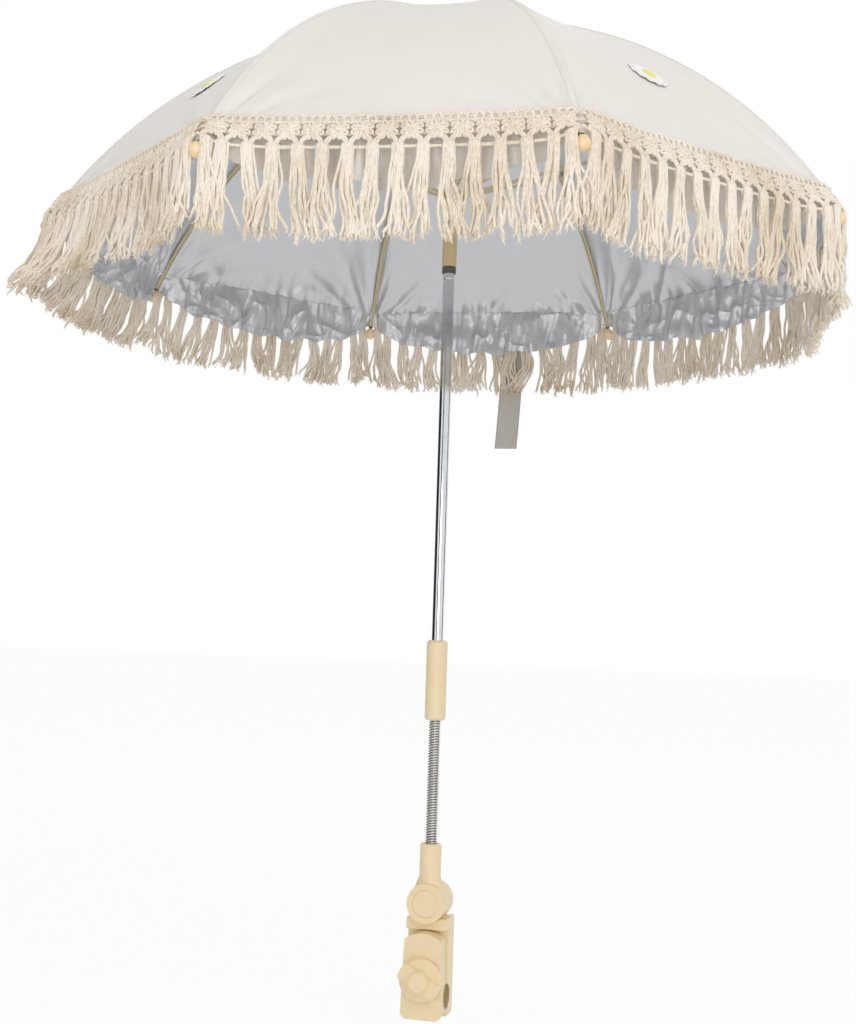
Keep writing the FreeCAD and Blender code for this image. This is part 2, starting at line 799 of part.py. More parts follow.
def make_tube():
    """Plated tube with a rolled groove under the open runner."""
    outer = size("tube_radius")
    inner = outer - size("tube_wall")
    low = size("grip_bottom") + size("socket_depth") + size("grip_rounding") + fit_gap
    groove = size("tube_groove_height")
    half = size("tube_groove_width") / 2
    node("pole_tube", revolved("pole_tube_form", [
        (inner, low),
        (outer, low),
        (outer, groove - half),
        (outer - size("tube_groove_depth"), groove),
        (outer, groove + half),
        (outer, tube_top),
        (inner, tube_top),
    ]))


# Crown, runner and their hinge wires

def slots(name, up):
    """Radial slots for the hinge tabs, open outwards, above and below."""
    width = size("tab_thickness") + part_gap * 2
    core = size("hub_core_radius")
    tools = []
    for index in range(RIB_COUNT):
        turn = rib_direction(index)
        corner = (core * cosine(turn) + width / 2 * sine(turn),
                  core * sine(turn) - width / 2 * cosine(turn),
                  up - size("hub_below") * 2)
        tool = block(f"{name}_slot_{index + 1}", size("hub_radius"), width, size("hub_below") * 4)
        tools.append(place(tool, corner, (0, 0, 1), turn))
    return tools


def hinge_ring(name, up, radius):
    """The square wire ring that the hinge tabs turn on, given by its corner radius."""
    middle = size("hinge_circle")
    half = radius * math.sqrt(0.5)
    ring = revolved(name + "_form", [
        (middle - half, -half),
        (middle + half, -half),
        (middle + half, half),
        (middle - half, half),
    ])
    return place(ring, (0, 0, up))


def make_crown():
    """Notched hub on the tube's top, its hinge wire and the cap."""
    tube = size("tube_radius") + fit_gap
    core = size("hub_core_radius")
    rim = size("hub_radius")
    top = crown_up + size("hub_above")
    below = crown_up - size("hub_below")
    stem = size("cap_stem_radius") + fit_gap
    hub = revolved("crown_form", [
        (tube, below - size("crown_collar")),
        (core, below - size("crown_collar")),
        (core, below),
        (rim, below),
        (rim, top),
        (stem, top),
        (stem, tube_top + fit_gap),
        (tube, tube_top + fit_gap),
    ])
    groove = hinge_ring("crown_wire_groove", crown_up, size("wire_radius") + fit_gap)
    node("crown_hub", cut("crown_hub", hub, slots("crown", crown_up) + [groove]))
    node("crown_wire", hinge_ring("crown_wire", crown_up, size("wire_radius")))

    rim_in = size("cap_radius") - size("cap_lip")
    seat = fabric_up(size("crown_hole_radius")) + part_gap
    lip = fabric_up(rim_in) + part_gap
    shoulder = size("cap_shoulder")
    node("top_cap", revolved("top_cap_form", [
        (0, top - size("hub_roof") / 2),
        (size("cap_stem_radius"), top - size("hub_roof") / 2),
        (size("cap_stem_radius"), seat),
        (rim_in, seat),
        (rim_in, lip),
        (size("cap_radius"), lip),
        (size("cap_radius"), seat + size("cap_lip")),
        (size("cap_radius") - shoulder, seat + size("cap_lip") + shoulder),
        (0, seat + size("cap_lip") + size("cap_height")),
    ]))


def make_runner():
    """Sliding sleeve with a ribbed grip and a notched head, and its hinge wire."""
    bore = size("tube_radius") + slide_gap
    crest = bore + size("runner_wall")
    valley = crest - size("ring_depth")
    rim = size("hub_radius")
    pitch = size("ring_pitch")
    low = runner_up - size("runner_length")
    below = runner_up - size("hub_below")
    outline = [(bore, low)]
    for ring in range(RUNNER_RING_COUNT):
        start = low + pitch * ring
        outline.append((crest, start))
        outline.append((crest, start + pitch * 0.5))
        outline.append((valley, start + pitch * 0.75))
    outline += [
        (crest, low + pitch * RUNNER_RING_COUNT),
        (crest, below - size("runner_shoulder")),
        (rim, below),
        (rim, runner_up + size("hub_above")),
        (bore, runner_up + size("hub_above")),
    ]
    form = revolved("runner_form", outline)
    groove = hinge_ring("runner_wire_groove", runner_up, size("wire_radius") + fit_gap)
    node("runner", cut("runner", form, slots("runner", runner_up) + [groove]))
    node("runner_wire", hinge_ring("runner_wire", runner_up, size("wire_radius")))


# Ribs, stretchers and beads: each is drawn in the XZ plane and turned about Z

def channel(width, depth, wall, middle):
    """Outline of a folded channel, open below, about a middle height."""
    half = width / 2
    low = middle - depth / 2
    high = middle + depth / 2
    return [
        (-half, low),
        (-half, high),
        (half, high),
        (half, low),
        (half - wall, low),
        (half - wall, high - wall),
        (wall - half, high - wall),
        (wall - half, low),
    ]


def cross_bar(name, radius, length, out, up):
    """A pin along Y, centred on the rib's plane, with few sides because it repeats."""
    return sided_bar(name, PIN_SIDES, radius, length, (out, length / 2, up), (1, 0, 0), 90)


def hole_corner(radius):
    """Corner radius of a sided hole that a pin of this radius turns in."""
    return radius / math.cos(math.pi / PIN_SIDES)


def fork_width():
    """Width over the fork that straddles the rib."""
    return size("rib_width") + (part_gap + size("cheek_thickness")) * 2


def make_rib(index):
    """Curved channel with a hinge tab, an elbow rivet and a tang for the bead."""
    tag = f"rib_{index + 1}"
    start_angle = size("rib_start") / rib_line * (180 / math.pi)
    outline = channel(size("rib_width"), size("rib_depth"), size("channel_wall"), rib_line)
    arm = revolved(tag + "_channel", outline, tip_angle - crown_angle - start_angle, "YZ_Plane", "H_Axis")
    place(arm, (centre_out, 0, centre_up), (0, 1, 0), crown_angle + start_angle)
    thickness = size("tab_thickness")
    half_tab = size("tab_height") / 2
    tab = block(tag + "_tab", size("tab_length"), thickness, size("tab_height"))
    place(tab, (size("hinge_circle") - half_tab * (sine(crown_angle) + cosine(crown_angle)), -thickness / 2,
                crown_up - half_tab * (cosine(crown_angle) - sine(crown_angle))), (0, 1, 0), crown_angle)
    rivet = cross_bar(tag + "_rivet", size("rivet_radius"), fork_width() + size("rivet_proud") * 2,
                      elbow_out, elbow_up)
    half_tang = size("tang_side") / 2
    tang = block(tag + "_tang", size("tang_side"), size("tang_side"), size("tang_back") + size("tang_front"))
    place(tang, (tip_out - size("tang_back") * cosine(tip_angle) + half_tang * sine(tip_angle), -half_tang,
                 tip_up + size("tang_back") * sine(tip_angle) + half_tang * cosine(tip_angle)),
          (0, 1, 0), tip_angle + 90)
    solid = fuse(tag + "_solid", [arm, tab, rivet, tang])
    hole = cross_bar(tag + "_hole", hole_corner(size("eye_bore")), thickness * 2, size("hinge_circle"), crown_up)
    node(tag, place(cut(tag, solid, [hole]), (0, 0, 0), (0, 0, 1), rib_direction(index)))


def make_bead(index):
    """Turned bead pushed on the rib's tang."""
    tag = f"rib_tip_{index + 1}"
    radius = size("bead_radius")
    length = size("bead_length")
    edge = size("bead_edge")
    turns = [2 * math.pi * (side + 0.5) / BEAD_SIDES for side in range(BEAD_SIDES)]
    outline = [(radius * math.cos(turn), radius * math.sin(turn)) for turn in turns]
    bead = prism(tag + "_form", outline, "XY_Plane", 0.0, length)
    pad = bead.Tip
    doc.recompute()
    ends = [f"Face{place_of}" for place_of, face in enumerate(pad.Shape.Faces, start=1)
            if len(face.Edges) == BEAD_SIDES]
    rounding = bead.newObject("PartDesign::Chamfer", tag + "_edges")
    rounding.Base = (pad, ends)
    bind(rounding, "Size", edge)
    base = (tip_out + fit_gap * cosine(tip_angle), 0, tip_up - fit_gap * sine(tip_angle))
    place(bead, base, (0, 1, 0), tip_angle + 90)
    half_bore = size("tang_side") / 2 + fit_gap
    bore = block(tag + "_bore", half_bore * 2, half_bore * 2, size("tang_front") + fit_gap)
    place(bore, (base[0] + half_bore * sine(tip_angle), -half_bore, base[2] + half_bore * cosine(tip_angle)),
          (0, 1, 0), tip_angle + 90)
    node(tag, place(cut(tag, bead, [bore]), (0, 0, 0), (0, 0, 1), rib_direction(index)))


def make_stretcher(index):
    """Straight channel with a hinge tab below and a fork round the rib above."""
    tag = f"stretcher_{index + 1}"
    depth = size("stretcher_depth")
    thickness = size("tab_thickness")
    height = size("tab_height")
    fork = size("fork_length")
    start = size("rib_start")
    channel_end = stretcher_length - fork
    outline = channel(size("stretcher_width"), depth, size("channel_wall"), 0)
    bar = prism(tag + "_channel", outline, "YZ_Plane", start, channel_end - start)
    tab = block(tag + "_tab", size("tab_length"), thickness, height, (-height / 2, -thickness / 2, -height / 2))
    cheek = size("cheek_thickness")
    width = fork_width()
    pieces = [bar, tab]
    bridge = size("bridge_length")
    pieces.append(block(tag + "_bridge", bridge, width, height,
                        (channel_end - bridge, -width / 2, -height / 2)))
    for side in (-1, 1):
        inner = size("rib_width") / 2 + part_gap
        low = inner if side > 0 else -(inner + cheek)
        name = f"{tag}_cheek_{2 if side > 0 else 1}"
        pieces.append(block(name, fork + bridge, cheek, height, (channel_end - bridge, low, -height / 2)))
        pieces.append(cylinder(name + "_end", height / 2, cheek,
                               (stretcher_length, low + cheek, 0), (1, 0, 0), 90))
    solid = fuse(tag + "_solid", pieces)
    place(solid, (size("hinge_circle"), 0, runner_up), (0, 1, 0), -stretcher_rise)
    lower = cross_bar(tag + "_lower_hole", hole_corner(size("eye_bore")), thickness * 2,
                      size("hinge_circle"), runner_up)
    upper = cross_bar(tag + "_upper_hole", hole_corner(size("rivet_radius") + fit_gap), width * 2,
                      elbow_out, elbow_up)
    node(tag, place(cut(tag, solid, [lower, upper]), (0, 0, 0), (0, 0, 1), rib_direction(index)))


# Canopy, ruffle, fringe and strap: sewn cloth, drawn from the same arc as the ribs

HALF_PANEL = math.pi / RIB_COUNT


def around(out, angle, up):
    """A point from its distance to the pole, its angle about it and its height."""
    return FreeCAD.Vector(out * math.cos(angle), out * math.sin(angle), up)


def fabric_out(up, depth=0.0):
    """Distance from the pole, along a rib, of the cloth at a height."""
    radius = SIZES["arc_radius"] - depth
    return number(centre_out) + math.sqrt(radius ** 2 - (up - number(centre_up)) ** 2)


def cloth_node(name, shape):
    """A sewn piece that no primitive gives."""
    piece = doc.addObject("Part::Feature", name)
    piece.Shape = shape
    return node(name, piece)


def rib_line_points(angle, depth):
    """Places along the cloth's arc on one rib, from the crown hole to the gathered seam."""
    radius = SIZES["arc_radius"] - depth
    first = math.asin((SIZES["crown_hole_radius"] - number(centre_out)) / radius)
    last = math.acos((seam_up() - number(centre_up)) / radius)
    points = []
    for band in range(CLOTH_BANDS + 1):
        turn = first + (last - first) * band / CLOTH_BANDS
        points.append(around(number(centre_out) + radius * math.sin(turn), angle,
                             number(centre_up) + radius * math.cos(turn)))
    return points


def flat_face(*corners):
    """A flat face from its corners in order."""
    return Part.Face(Part.makePolygon(list(corners) + [corners[0]]))


def sewn_solid(faces):
    """A solid from the flat faces of its closed skin."""
    skin = Part.Compound(faces)
    skin.sewShape()
    return Part.Solid(Part.Shell(skin.Faces))


def seam_up():
    """Height of the gathered seam."""
    return SIZES["rim_height"] + SIZES["seam_height"]


def make_canopy():
    """Eight panels, each taut in flat bands between two ribs, with the cloth's thickness."""
    angles = [math.radians(number(rib_direction(index))) for index in range(RIB_COUNT)]
    outer = [rib_line_points(angle, 0.0) for angle in angles]
    inner = [rib_line_points(angle, SIZES["fabric_thickness"]) for angle in angles]
    faces = []
    for index in range(RIB_COUNT):
        following = (index + 1) % RIB_COUNT
        for skin in (outer, inner):
            for band in range(CLOTH_BANDS):
                faces.append(flat_face(skin[index][band], skin[index][band + 1],
                                       skin[following][band + 1], skin[following][band]))
        for end in (0, -1):
            faces.append(flat_face(outer[index][end], outer[following][end], inner[following][end], inner[index][end]))
    cloth_node("canopy", sewn_solid(faces))


def ruffle_section(along, rib_angle):
    """Corners of the ruffle cut at one place on the side after a rib: a thin strip.

    On the rib it lies along the cloth's arc and ends above the bead, and between the ribs it hangs free.
    """
    top_up = seam_up() - SIZES["part_gap"]
    top_out = fabric_out(seam_up()) * math.cos(HALF_PANEL)
    half_side = top_out * math.tan(HALF_PANEL)
    seat = rib_seat()
    free = min(max((along - seat) / (2 * half_side - 2 * seat), 0.0), 1.0)
    hang = math.sqrt(math.sin(math.pi * free))
    wave = SIZES["ruffle_fold_depth"] * math.sin(2 * math.pi * FOLDS_PER_PANEL * free)
    lift = 2 * SIZES["part_gap"]
    end_angle = math.radians(number(tip_angle)) - lift / SIZES["arc_radius"]
    end_out = (number(centre_out) + (SIZES["arc_radius"] + lift) * math.sin(end_angle)) * math.cos(HALF_PANEL)
    end_up = number(centre_up) + (SIZES["arc_radius"] + lift) * math.cos(end_angle)
    hem_out = end_out + (top_out + SIZES["ruffle_flare"] - end_out) * hang + wave
    hem_up = end_up + (seam_up() - SIZES["ruffle_drop"] - end_up) * hang
    angle = rib_angle + HALF_PANEL + math.atan2(along - half_side, top_out)
    stretch = math.hypot(along - half_side, top_out) / top_out
    thickness = SIZES["fabric_thickness"]
    return [
        around(top_out * stretch, angle, top_up),
        around(hem_out * stretch, angle, hem_up),
        around((hem_out - thickness) * stretch, angle, hem_up),
        around((top_out - thickness) * stretch, angle, top_up),
    ]


def rib_seat():
    """Half the width of the ruffle that lies flat over a rib."""
    return SIZES["bead_radius"] + 2 * SIZES["part_gap"]


def make_ruffle():
    """One gathered strip round the whole rim, with a seam at the first rib."""
    side = 2 * fabric_out(seam_up()) * math.sin(HALF_PANEL)
    half_folds = 2 * FOLDS_PER_PANEL
    shares = [0.0] + [(half + 0.5) / half_folds for half in range(half_folds)] + [1.0]
    sections = []
    for index in range(RIB_COUNT):
        angle = math.radians(number(rib_direction(index)))
        sections.append(ruffle_section(SIZES["part_gap"] / 2, angle))
        for share in shares:
            along = rib_seat() + (side - 2 * rib_seat()) * share
            sections.append(ruffle_section(along, angle))
    sections.append(ruffle_section(side - SIZES["part_gap"] / 2, math.radians(number(rib_direction(RIB_COUNT - 1)))))
    faces = [flat_face(*sections[0]), flat_face(*sections[-1])]
    for section, following in zip(sections, sections[1:]):
        for first, second in ((0, 1), (1, 2), (3, 2), (3, 0)):
            faces.append(flat_face(section[first], section[second], following[second]))
            faces.append(flat_face(section[first], following[second], following[first]))
    cloth_node("canopy_ruffle", sewn_solid(faces))


def side_point(along, out, up, side_angle):
    """A point on one straight side of the rim polygon."""
    normal = FreeCAD.Vector(math.cos(side_angle), math.sin(side_angle), 0)
    forward = FreeCAD.Vector(-math.sin(side_angle), math.cos(side_angle), 0)
    return normal * out + forward * along + FreeCAD.Vector(0, 0, up)


def band_line(lift):
    """Apothem and height of the band's upper and lower edges, lifted off the cloth."""
    top_up = SIZES["rim_height"] + SIZES["band_top"]
    low_up = top_up - SIZES["band_height"]
    top_out = fabric_out(top_up) * math.cos(HALF_PANEL)
    low_out = top_out + SIZES["band_spread"]
    slope = math.hypot(SIZES["band_spread"], SIZES["band_height"])
    away = (SIZES["band_height"] / slope * lift, SIZES["band_spread"] / slope * lift)
    return (top_out + away[0], top_up + away[1]), (low_out + away[0], low_up + away[1])


def make_fringe(index):
    """Macrame band round one rib's corner, to the middle of both panels, with its tassels."""
    rib_angle = math.radians(number(rib_direction(index)))
    gap = SIZES["part_gap"] * 2
    inside = band_line(gap)
    outside = band_line(gap + SIZES["band_thickness"])
    corner_share = SIZES["corner_lift"] / SIZES["band_height"]
    sections = []
    for side in (-1, 1):
        side_angle = rib_angle + side * HALF_PANEL
        half = inside[1][0] * math.tan(HALF_PANEL)
        ends = [0.0, -side * (half - SIZES["corner_gap"])]
        quads = []
        for along in ends:
            corners = [side_point(along, out, up, side_angle)
                       for out, up in (inside[0], inside[1], outside[1], outside[0])]
            quads.append(Part.makePolygon(corners + corners[:1]))
        sections.append(quads)
    corners = []
    for (top, low), order in ((inside, 1), (outside, -1)):
        low_out = low[0] + (top[0] - low[0]) * corner_share
        low_up = low[1] + (top[1] - low[1]) * corner_share
        pair = [around(top[0] / math.cos(HALF_PANEL), rib_angle, top[1]),
                around(low_out / math.cos(HALF_PANEL), rib_angle, low_up)]
        corners.extend(pair[::order])
    middle = Part.makePolygon(corners + corners[:1])
    band = Part.makeLoft([sections[0][0], sections[0][1], middle, sections[1][1], sections[1][0]], True, True)

    pieces = [band]
    thickness = SIZES["band_thickness"]
    hang_up = inside[1][1]
    tie = thickness / 2
    for side in (-1, 1):
        side_angle = rib_angle + side * HALF_PANEL
        out = inside[1][0]
        run = inside[1][0] * math.tan(HALF_PANEL) - SIZES["corner_gap"]
        pitch = run / TASSELS_PER_HALF_SIDE
        outline = [(0.0, hang_up + tie), (0.0, hang_up - tie)]
        for tassel in range(TASSELS_PER_HALF_SIDE):
            first = pitch * tassel + SIZES["tassel_gap"] / 2
            last = pitch * (tassel + 1) - SIZES["tassel_gap"] / 2
            low = hang_up - SIZES["tassel_length"]
            outline += [(first, hang_up - tie), (first, low), (last, low), (last, hang_up - tie)]
        outline += [(run, hang_up - tie), (run, hang_up + tie)]
        points = [side_point(-side * along, out, up, side_angle) for along, up in outline]
        face = Part.Face(Part.makePolygon(points + points[:1]))
        outward = FreeCAD.Vector(math.cos(side_angle), math.sin(side_angle), 0)
        pieces.append(face.extrude(outward * thickness))
    cloth_node(f"fringe_{index + 1}", pieces[0].fuse(pieces[1:]).removeSplitter())


def make_strap():
    """Flat closing strap over the band at the back."""
    thickness = size("strap_thickness")
    gap = SIZES["part_gap"]
    top, low = band_line(gap * 3 + SIZES["band_thickness"])
    hang_out = band_line(gap * 2)[1][0] + SIZES["band_thickness"] + gap
    start_up = top[1] + SIZES["strap_tuck"]
    start_out = fabric_out(start_up) * math.cos(HALF_PANEL) + gap
    end_up = SIZES["rim_height"] - SIZES["strap_drop"]
    inner = [(start_out, start_up), (top[0], top[1]), (hang_out, low[1]), (hang_out, end_up)]
    outer = [(out + number(thickness), up + (number(thickness) / 2 if up > low[1] - 1 else 0)) for out, up in inner]
    side_angle = math.radians(number(rib_direction(3)) + 180 / RIB_COUNT)
    shift = SIZES["strap_shift"] - SIZES["strap_width"] / 2
    points = [side_point(shift, out, up, side_angle) for out, up in inner + outer[::-1]]
    forward = FreeCAD.Vector(-math.sin(side_angle), math.cos(side_angle), 0)
    face = Part.Face(Part.makePolygon(points + points[:1]))
    cloth_node("closure_strap", face.extrude(forward * SIZES["strap_width"]))


make_clamp_body()
make_pad("rear_jaw_pad", True)
make_nut("clamp_nut", size("nut_front"), size("screw_height"))
make_front_jaw()
make_pad("front_jaw_pad", False)
make_knob()
make_arm()
make_nut("pivot_nut", size("ear_back") - size("nut_height"), size("pivot_height"))
make_gooseneck()
make_grip()
make_tube()
make_crown()
make_runner()
for rib_index in range(RIB_COUNT):
    make_rib(rib_index)
    make_bead(rib_index)
    make_stretcher(rib_index)
make_canopy()
make_ruffle()
for rib_index in range(RIB_COUNT):
    make_fringe(rib_index)
make_strap()
doc.recompute()

for thing in doc.Objects:
    if "Invalid" in thing.State or "Error" in thing.State:
        raise RuntimeError(f"{thing.Label} did not build: {thing.State}")
for name, thing in NODES:
    if thing.Shape.isNull() or not thing.Shape.isValid() or not thing.Shape.Solids:
        raise RuntimeError(f"{name} has no valid solid")

os.makedirs("parts", exist_ok=True)
for name, thing in NODES:
    thing.Shape.exportStep(f"parts/{name}.step")
print(f"{len(NODES)} sub-parts written")
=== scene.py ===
"""Pram parasol: cloth, macrame fringe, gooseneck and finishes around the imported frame.

Metres, +Z up along the pole. The clamp's knob faces -Y, and the ribs are numbered from the
front right one, counter-clockwise seen from above.
"""

import logging
import math
import random
from dataclasses import dataclass, field
from enum import Enum
from typing import Any, Callable, Iterable

import bmesh
import bpy
from mathutils import Matrix, Vector, noise


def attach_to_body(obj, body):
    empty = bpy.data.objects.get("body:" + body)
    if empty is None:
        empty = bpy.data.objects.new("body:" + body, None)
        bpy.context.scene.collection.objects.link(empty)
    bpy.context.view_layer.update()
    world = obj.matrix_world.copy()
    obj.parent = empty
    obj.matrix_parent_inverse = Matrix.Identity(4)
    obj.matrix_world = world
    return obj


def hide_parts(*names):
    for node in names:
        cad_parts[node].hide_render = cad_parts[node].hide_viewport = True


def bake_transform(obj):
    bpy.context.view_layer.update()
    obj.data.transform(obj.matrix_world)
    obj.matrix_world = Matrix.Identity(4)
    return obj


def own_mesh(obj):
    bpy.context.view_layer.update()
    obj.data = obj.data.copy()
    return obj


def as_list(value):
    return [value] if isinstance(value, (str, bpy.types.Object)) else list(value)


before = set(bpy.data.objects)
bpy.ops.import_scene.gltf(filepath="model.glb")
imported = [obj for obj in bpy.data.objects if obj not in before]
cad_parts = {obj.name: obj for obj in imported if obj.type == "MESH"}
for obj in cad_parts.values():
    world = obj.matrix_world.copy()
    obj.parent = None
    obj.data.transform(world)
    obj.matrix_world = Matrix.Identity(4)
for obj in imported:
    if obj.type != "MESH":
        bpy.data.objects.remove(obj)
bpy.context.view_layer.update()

LOG = logging.getLogger("pram_parasol")
RIB_COUNT = 8
RIBS = range(1, RIB_COUNT + 1)
HALF_PANEL = math.pi / RIB_COUNT
HALVES = (-1, 1)
MM = 0.001
UP = Vector((0.0, 0.0, 1.0))
CREASE_SHARPNESS = 1.3
WEAVE_SCALE = 0.32
BLOTCH_SCALE = 14.0
BUMP_STRENGTH = 0.6
ROUGHNESS_SPREAD = 0.12


def linear_colour(hex_code: str) -> tuple[float, float, float, float]:
    """Turn an sRGB hex colour into a linear one.

    Args:
        hex_code: Six hex digits after a hash sign.

    Returns:
        Linear red, green, blue and an alpha of one.
    """
    channels = [int(hex_code[place:place + 2], 16) / 255 for place in (1, 3, 5)]
    red, green, blue = [value / 12.92 if value <= 0.04045 else ((value + 0.055) / 1.055) ** 2.4
                        for value in channels]
    return red, green, blue, 1.0


def add_node(tree: bpy.types.NodeTree, kind: str, settings: dict[str, Any],
             sockets: dict[str | int, Any]) -> bpy.types.Node:
    """Add a shader node with its settings, values and links.

    Args:
        tree: The material's node tree.
        kind: The node's type name.
        settings: Properties to set on the node.
        sockets: Input values, or output sockets to link from, by input name or place.

    Returns:
        The new node.
    """
    made = tree.nodes.new(kind)
    for name, value in settings.items():
        setattr(made, name, value)
    for name, value in sockets.items():
        if isinstance(value, bpy.types.NodeSocket):
            tree.links.new(value, made.inputs[name])
        else:
            made.inputs[name].default_value = value
    return made


def maths(tree: bpy.types.NodeTree, operation: str, first: Any, second: Any) -> bpy.types.NodeSocket:
    """Join two values or sockets with a maths node, and give its result."""
    return add_node(tree, "ShaderNodeMath", {"operation": operation}, {0: first, 1: second}).outputs[0]


def new_material(name: str) -> tuple[bpy.types.Material, bpy.types.Node]:
    """Make a material, and give it with its shader."""
    made = bpy.data.materials.new(name)
    made.use_nodes = True
    return made, made.node_tree.nodes["Principled BSDF"]


class Texture(Enum):
    """How a surface was made, which decides the pattern on it."""

    WOVEN = "woven"
    YARN = "yarn"
    MOULDED = "moulded"
    POLISHED = "polished"
    GRAINED = "grained"
    CRINKLED = "crinkled"


@dataclass(frozen=True)
class Finish:
    """One real material and how its surface was made.

    Attributes:
        name: The material's plain name.
        colour: Main colour.
        second: Colour of the pattern's darker or worn parts.
        texture: How the surface was made.
        grain: Size of the pattern in millimetres.
        depth: Height of the bump in millimetres.
        roughness: Mean roughness.
        metallic: One for bare metal.
        sheen: Cloth sheen.
        coat: Clear layer on top.
    """

    name: str
    colour: str
    second: str
    texture: Texture
    grain: float
    depth: float
    roughness: float
    metallic: float = 0.0
    sheen: float = 0.0
    coat: float = 0.0

    def pattern(self, tree: bpy.types.NodeTree) -> bpy.types.NodeSocket:
        """Build the height pattern that suits the surface.

        Args:
            tree: The material's node tree.

        Returns:
            A socket with values from 0 to 1.
        """
        place = add_node(tree, "ShaderNodeTexCoord", {}, {})
        if self.texture is Texture.WOVEN:
            waves = []
            for direction in ("X", "Y"):
                waves.append(add_node(tree, "ShaderNodeTexWave", {"bands_direction": direction}, {
                    "Vector": place.outputs["UV"], "Scale": WEAVE_SCALE / (self.grain * MM),
                    "Distortion": 0.6, "Detail": 1.0}).outputs["Fac"])
            return maths(tree, "MULTIPLY", maths(tree, "ADD", *waves), 0.5)
        if self.texture is Texture.CRINKLED:
            return add_node(tree, "ShaderNodeTexNoise", {"noise_type": "RIDGED_MULTIFRACTAL"}, {
                "Vector": place.outputs["Object"], "Scale": 1 / (self.grain * MM), "Detail": 2.0,
                "Offset": 1.0, "Distortion": 0.8}).outputs["Fac"]
        stretches = {Texture.GRAINED: (1.0, 1.0, 0.12), Texture.YARN: (1.0, 1.0, 0.3)}
        stretch = stretches.get(self.texture, (1.0, 1.0, 1.0))
        scaled = add_node(tree, "ShaderNodeMapping", {}, {
            "Vector": place.outputs["Object"], "Scale": stretch})
        return add_node(tree, "ShaderNodeTexNoise", {}, {
            "Vector": scaled.outputs[0], "Scale": 1 / (self.grain * MM), "Detail": 3.0}).outputs["Fac"]

    def material(self) -> bpy.types.Material:
        """Make the material, or give the one already made.

        Returns:
            The Blender material.
        """
        if self.name in bpy.data.materials:
            return bpy.data.materials[self.name]
        made, shader = new_material(self.name)
        tree = made.node_tree
        height = self.pattern(tree)
        place = add_node(tree, "ShaderNodeTexCoord", {}, {})
        cloud = add_node(tree, "ShaderNodeTexNoise", {}, {
            "Vector": place.outputs["Object"], "Scale": BLOTCH_SCALE, "Detail": 4.0})
        blotch = maths(tree, "MULTIPLY", height, cloud.outputs["Fac"])
        spread = add_node(tree, "ShaderNodeMapRange", {}, {
            "Value": blotch, "From Min": 0.08, "From Max": 0.3})
        colours = add_node(tree, "ShaderNodeMix", {"data_type": "RGBA"}, {
            0: spread.outputs[0], 6: linear_colour(self.second), 7: linear_colour(self.colour)})
        tree.links.new(colours.outputs[2], shader.inputs["Base Color"])
        rough = add_node(tree, "ShaderNodeMapRange", {}, {
            "Value": cloud.outputs["Fac"], "From Min": 0.3, "From Max": 0.7,
            "To Min": self.roughness * (1 - ROUGHNESS_SPREAD),
            "To Max": min(self.roughness * (1 + ROUGHNESS_SPREAD), 1.0)})
        tree.links.new(rough.outputs[0], shader.inputs["Roughness"])
        bump = add_node(tree, "ShaderNodeBump", {}, {
            "Height": height, "Strength": BUMP_STRENGTH, "Distance": self.depth * MM})
        tree.links.new(bump.outputs[0], shader.inputs["Normal"])
        weights = {"Metallic": self.metallic, "Sheen Weight": self.sheen, "Coat Weight": self.coat}
        for name, value in weights.items():
            shader.inputs[name].default_value = value
        return made


# Plain-weave polyester, calendered smooth: a pale warm grey with a faint silky sheen
CANOPY_CLOTH = Finish("polyester pongee", "#EEEAE4", "#E6E1D9", Texture.WOVEN, 1.2, 0.04, 0.6, sheen=0.12)
# The same cloth's inside, coated with aluminium-filled lacquer: cool grey, a little shiny
SILVER_COATING = Finish("silver coating", "#D9DADD", "#CDCED2", Texture.WOVEN, 1.2, 0.03, 0.36,
                        metallic=0.5)
# The coating where the cloth is gathered: creased by the gathers and by packing
CREASED_COATING = Finish("creased silver coating", "#DCDDE0", "#D0D1D5", Texture.CRINKLED, 40.0, 4.0, 0.36,
                         metallic=0.5)
# Loosely twisted undyed cotton: matt and pale cream; the darker second colour is painted shade between the
# cords and yarns
COTTON_CORD = Finish("natural cotton cord", "#F6EDDF", "#D3BF9F", Texture.YARN, 1.1, 0.3, 0.92, sheen=0.2)
# Injection-moulded ABS: cream all through, satin from a fine spark-eroded tool
CREAM_PLASTIC = Finish("moulded cream ABS", "#F2DEB6", "#EDD6AA", Texture.MOULDED, 0.9, 0.02, 0.4, coat=0.08)
# Plated steel tube: mirror bright, with the faint draw marks of the tube under the plating
CHROME_PLATE = Finish("chromium plate", "#DCDDE0", "#CED0D4", Texture.POLISHED, 6.0, 0.002, 0.08,
                      metallic=1.0)
# Bright drawn spring wire: greyer than chrome, with fine lengthwise scratches
SPRING_WIRE = Finish("drawn spring wire", "#C9C8C6", "#B0AFAD", Texture.POLISHED, 1.0, 0.01, 0.26,
                     metallic=1.0)
# Rolled steel strip with stoved khaki-gold enamel, thin over the corners
KHAKI_ENAMEL = Finish("khaki-gold enamel", "#E6DCBA", "#D6CAA2", Texture.MOULDED, 2.0, 0.02, 0.38, coat=0.2)
# Moulded sleeve of the runner: cream nylon, its colour darkened to tan as painted shade under the canopy
SHADED_CREAM_NYLON = Finish("cream nylon with painted shade", "#E0C697", "#D2B583", Texture.MOULDED, 1.0, 0.02, 0.45, coat=0.05)
# Turned beech, thinly varnished: pale honey, with fine short grain
TURNED_BEECH = Finish("varnished beech", "#F6DDB4", "#EAC48F", Texture.GRAINED, 1.2, 0.03, 0.38, coat=0.25)
# Polyester webbing in a dull beige-grey
STRAP_WEBBING = Finish("polyester webbing", "#CFC9BF", "#BFB8AE", Texture.WOVEN, 1.4, 0.12, 0.8, sheen=0.2)
# Soft rubber, moulded: dull beige and matt
JAW_RUBBER = Finish("moulded rubber", "#C3AE88", "#B39E79", Texture.MOULDED, 1.2, 0.05, 0.75)
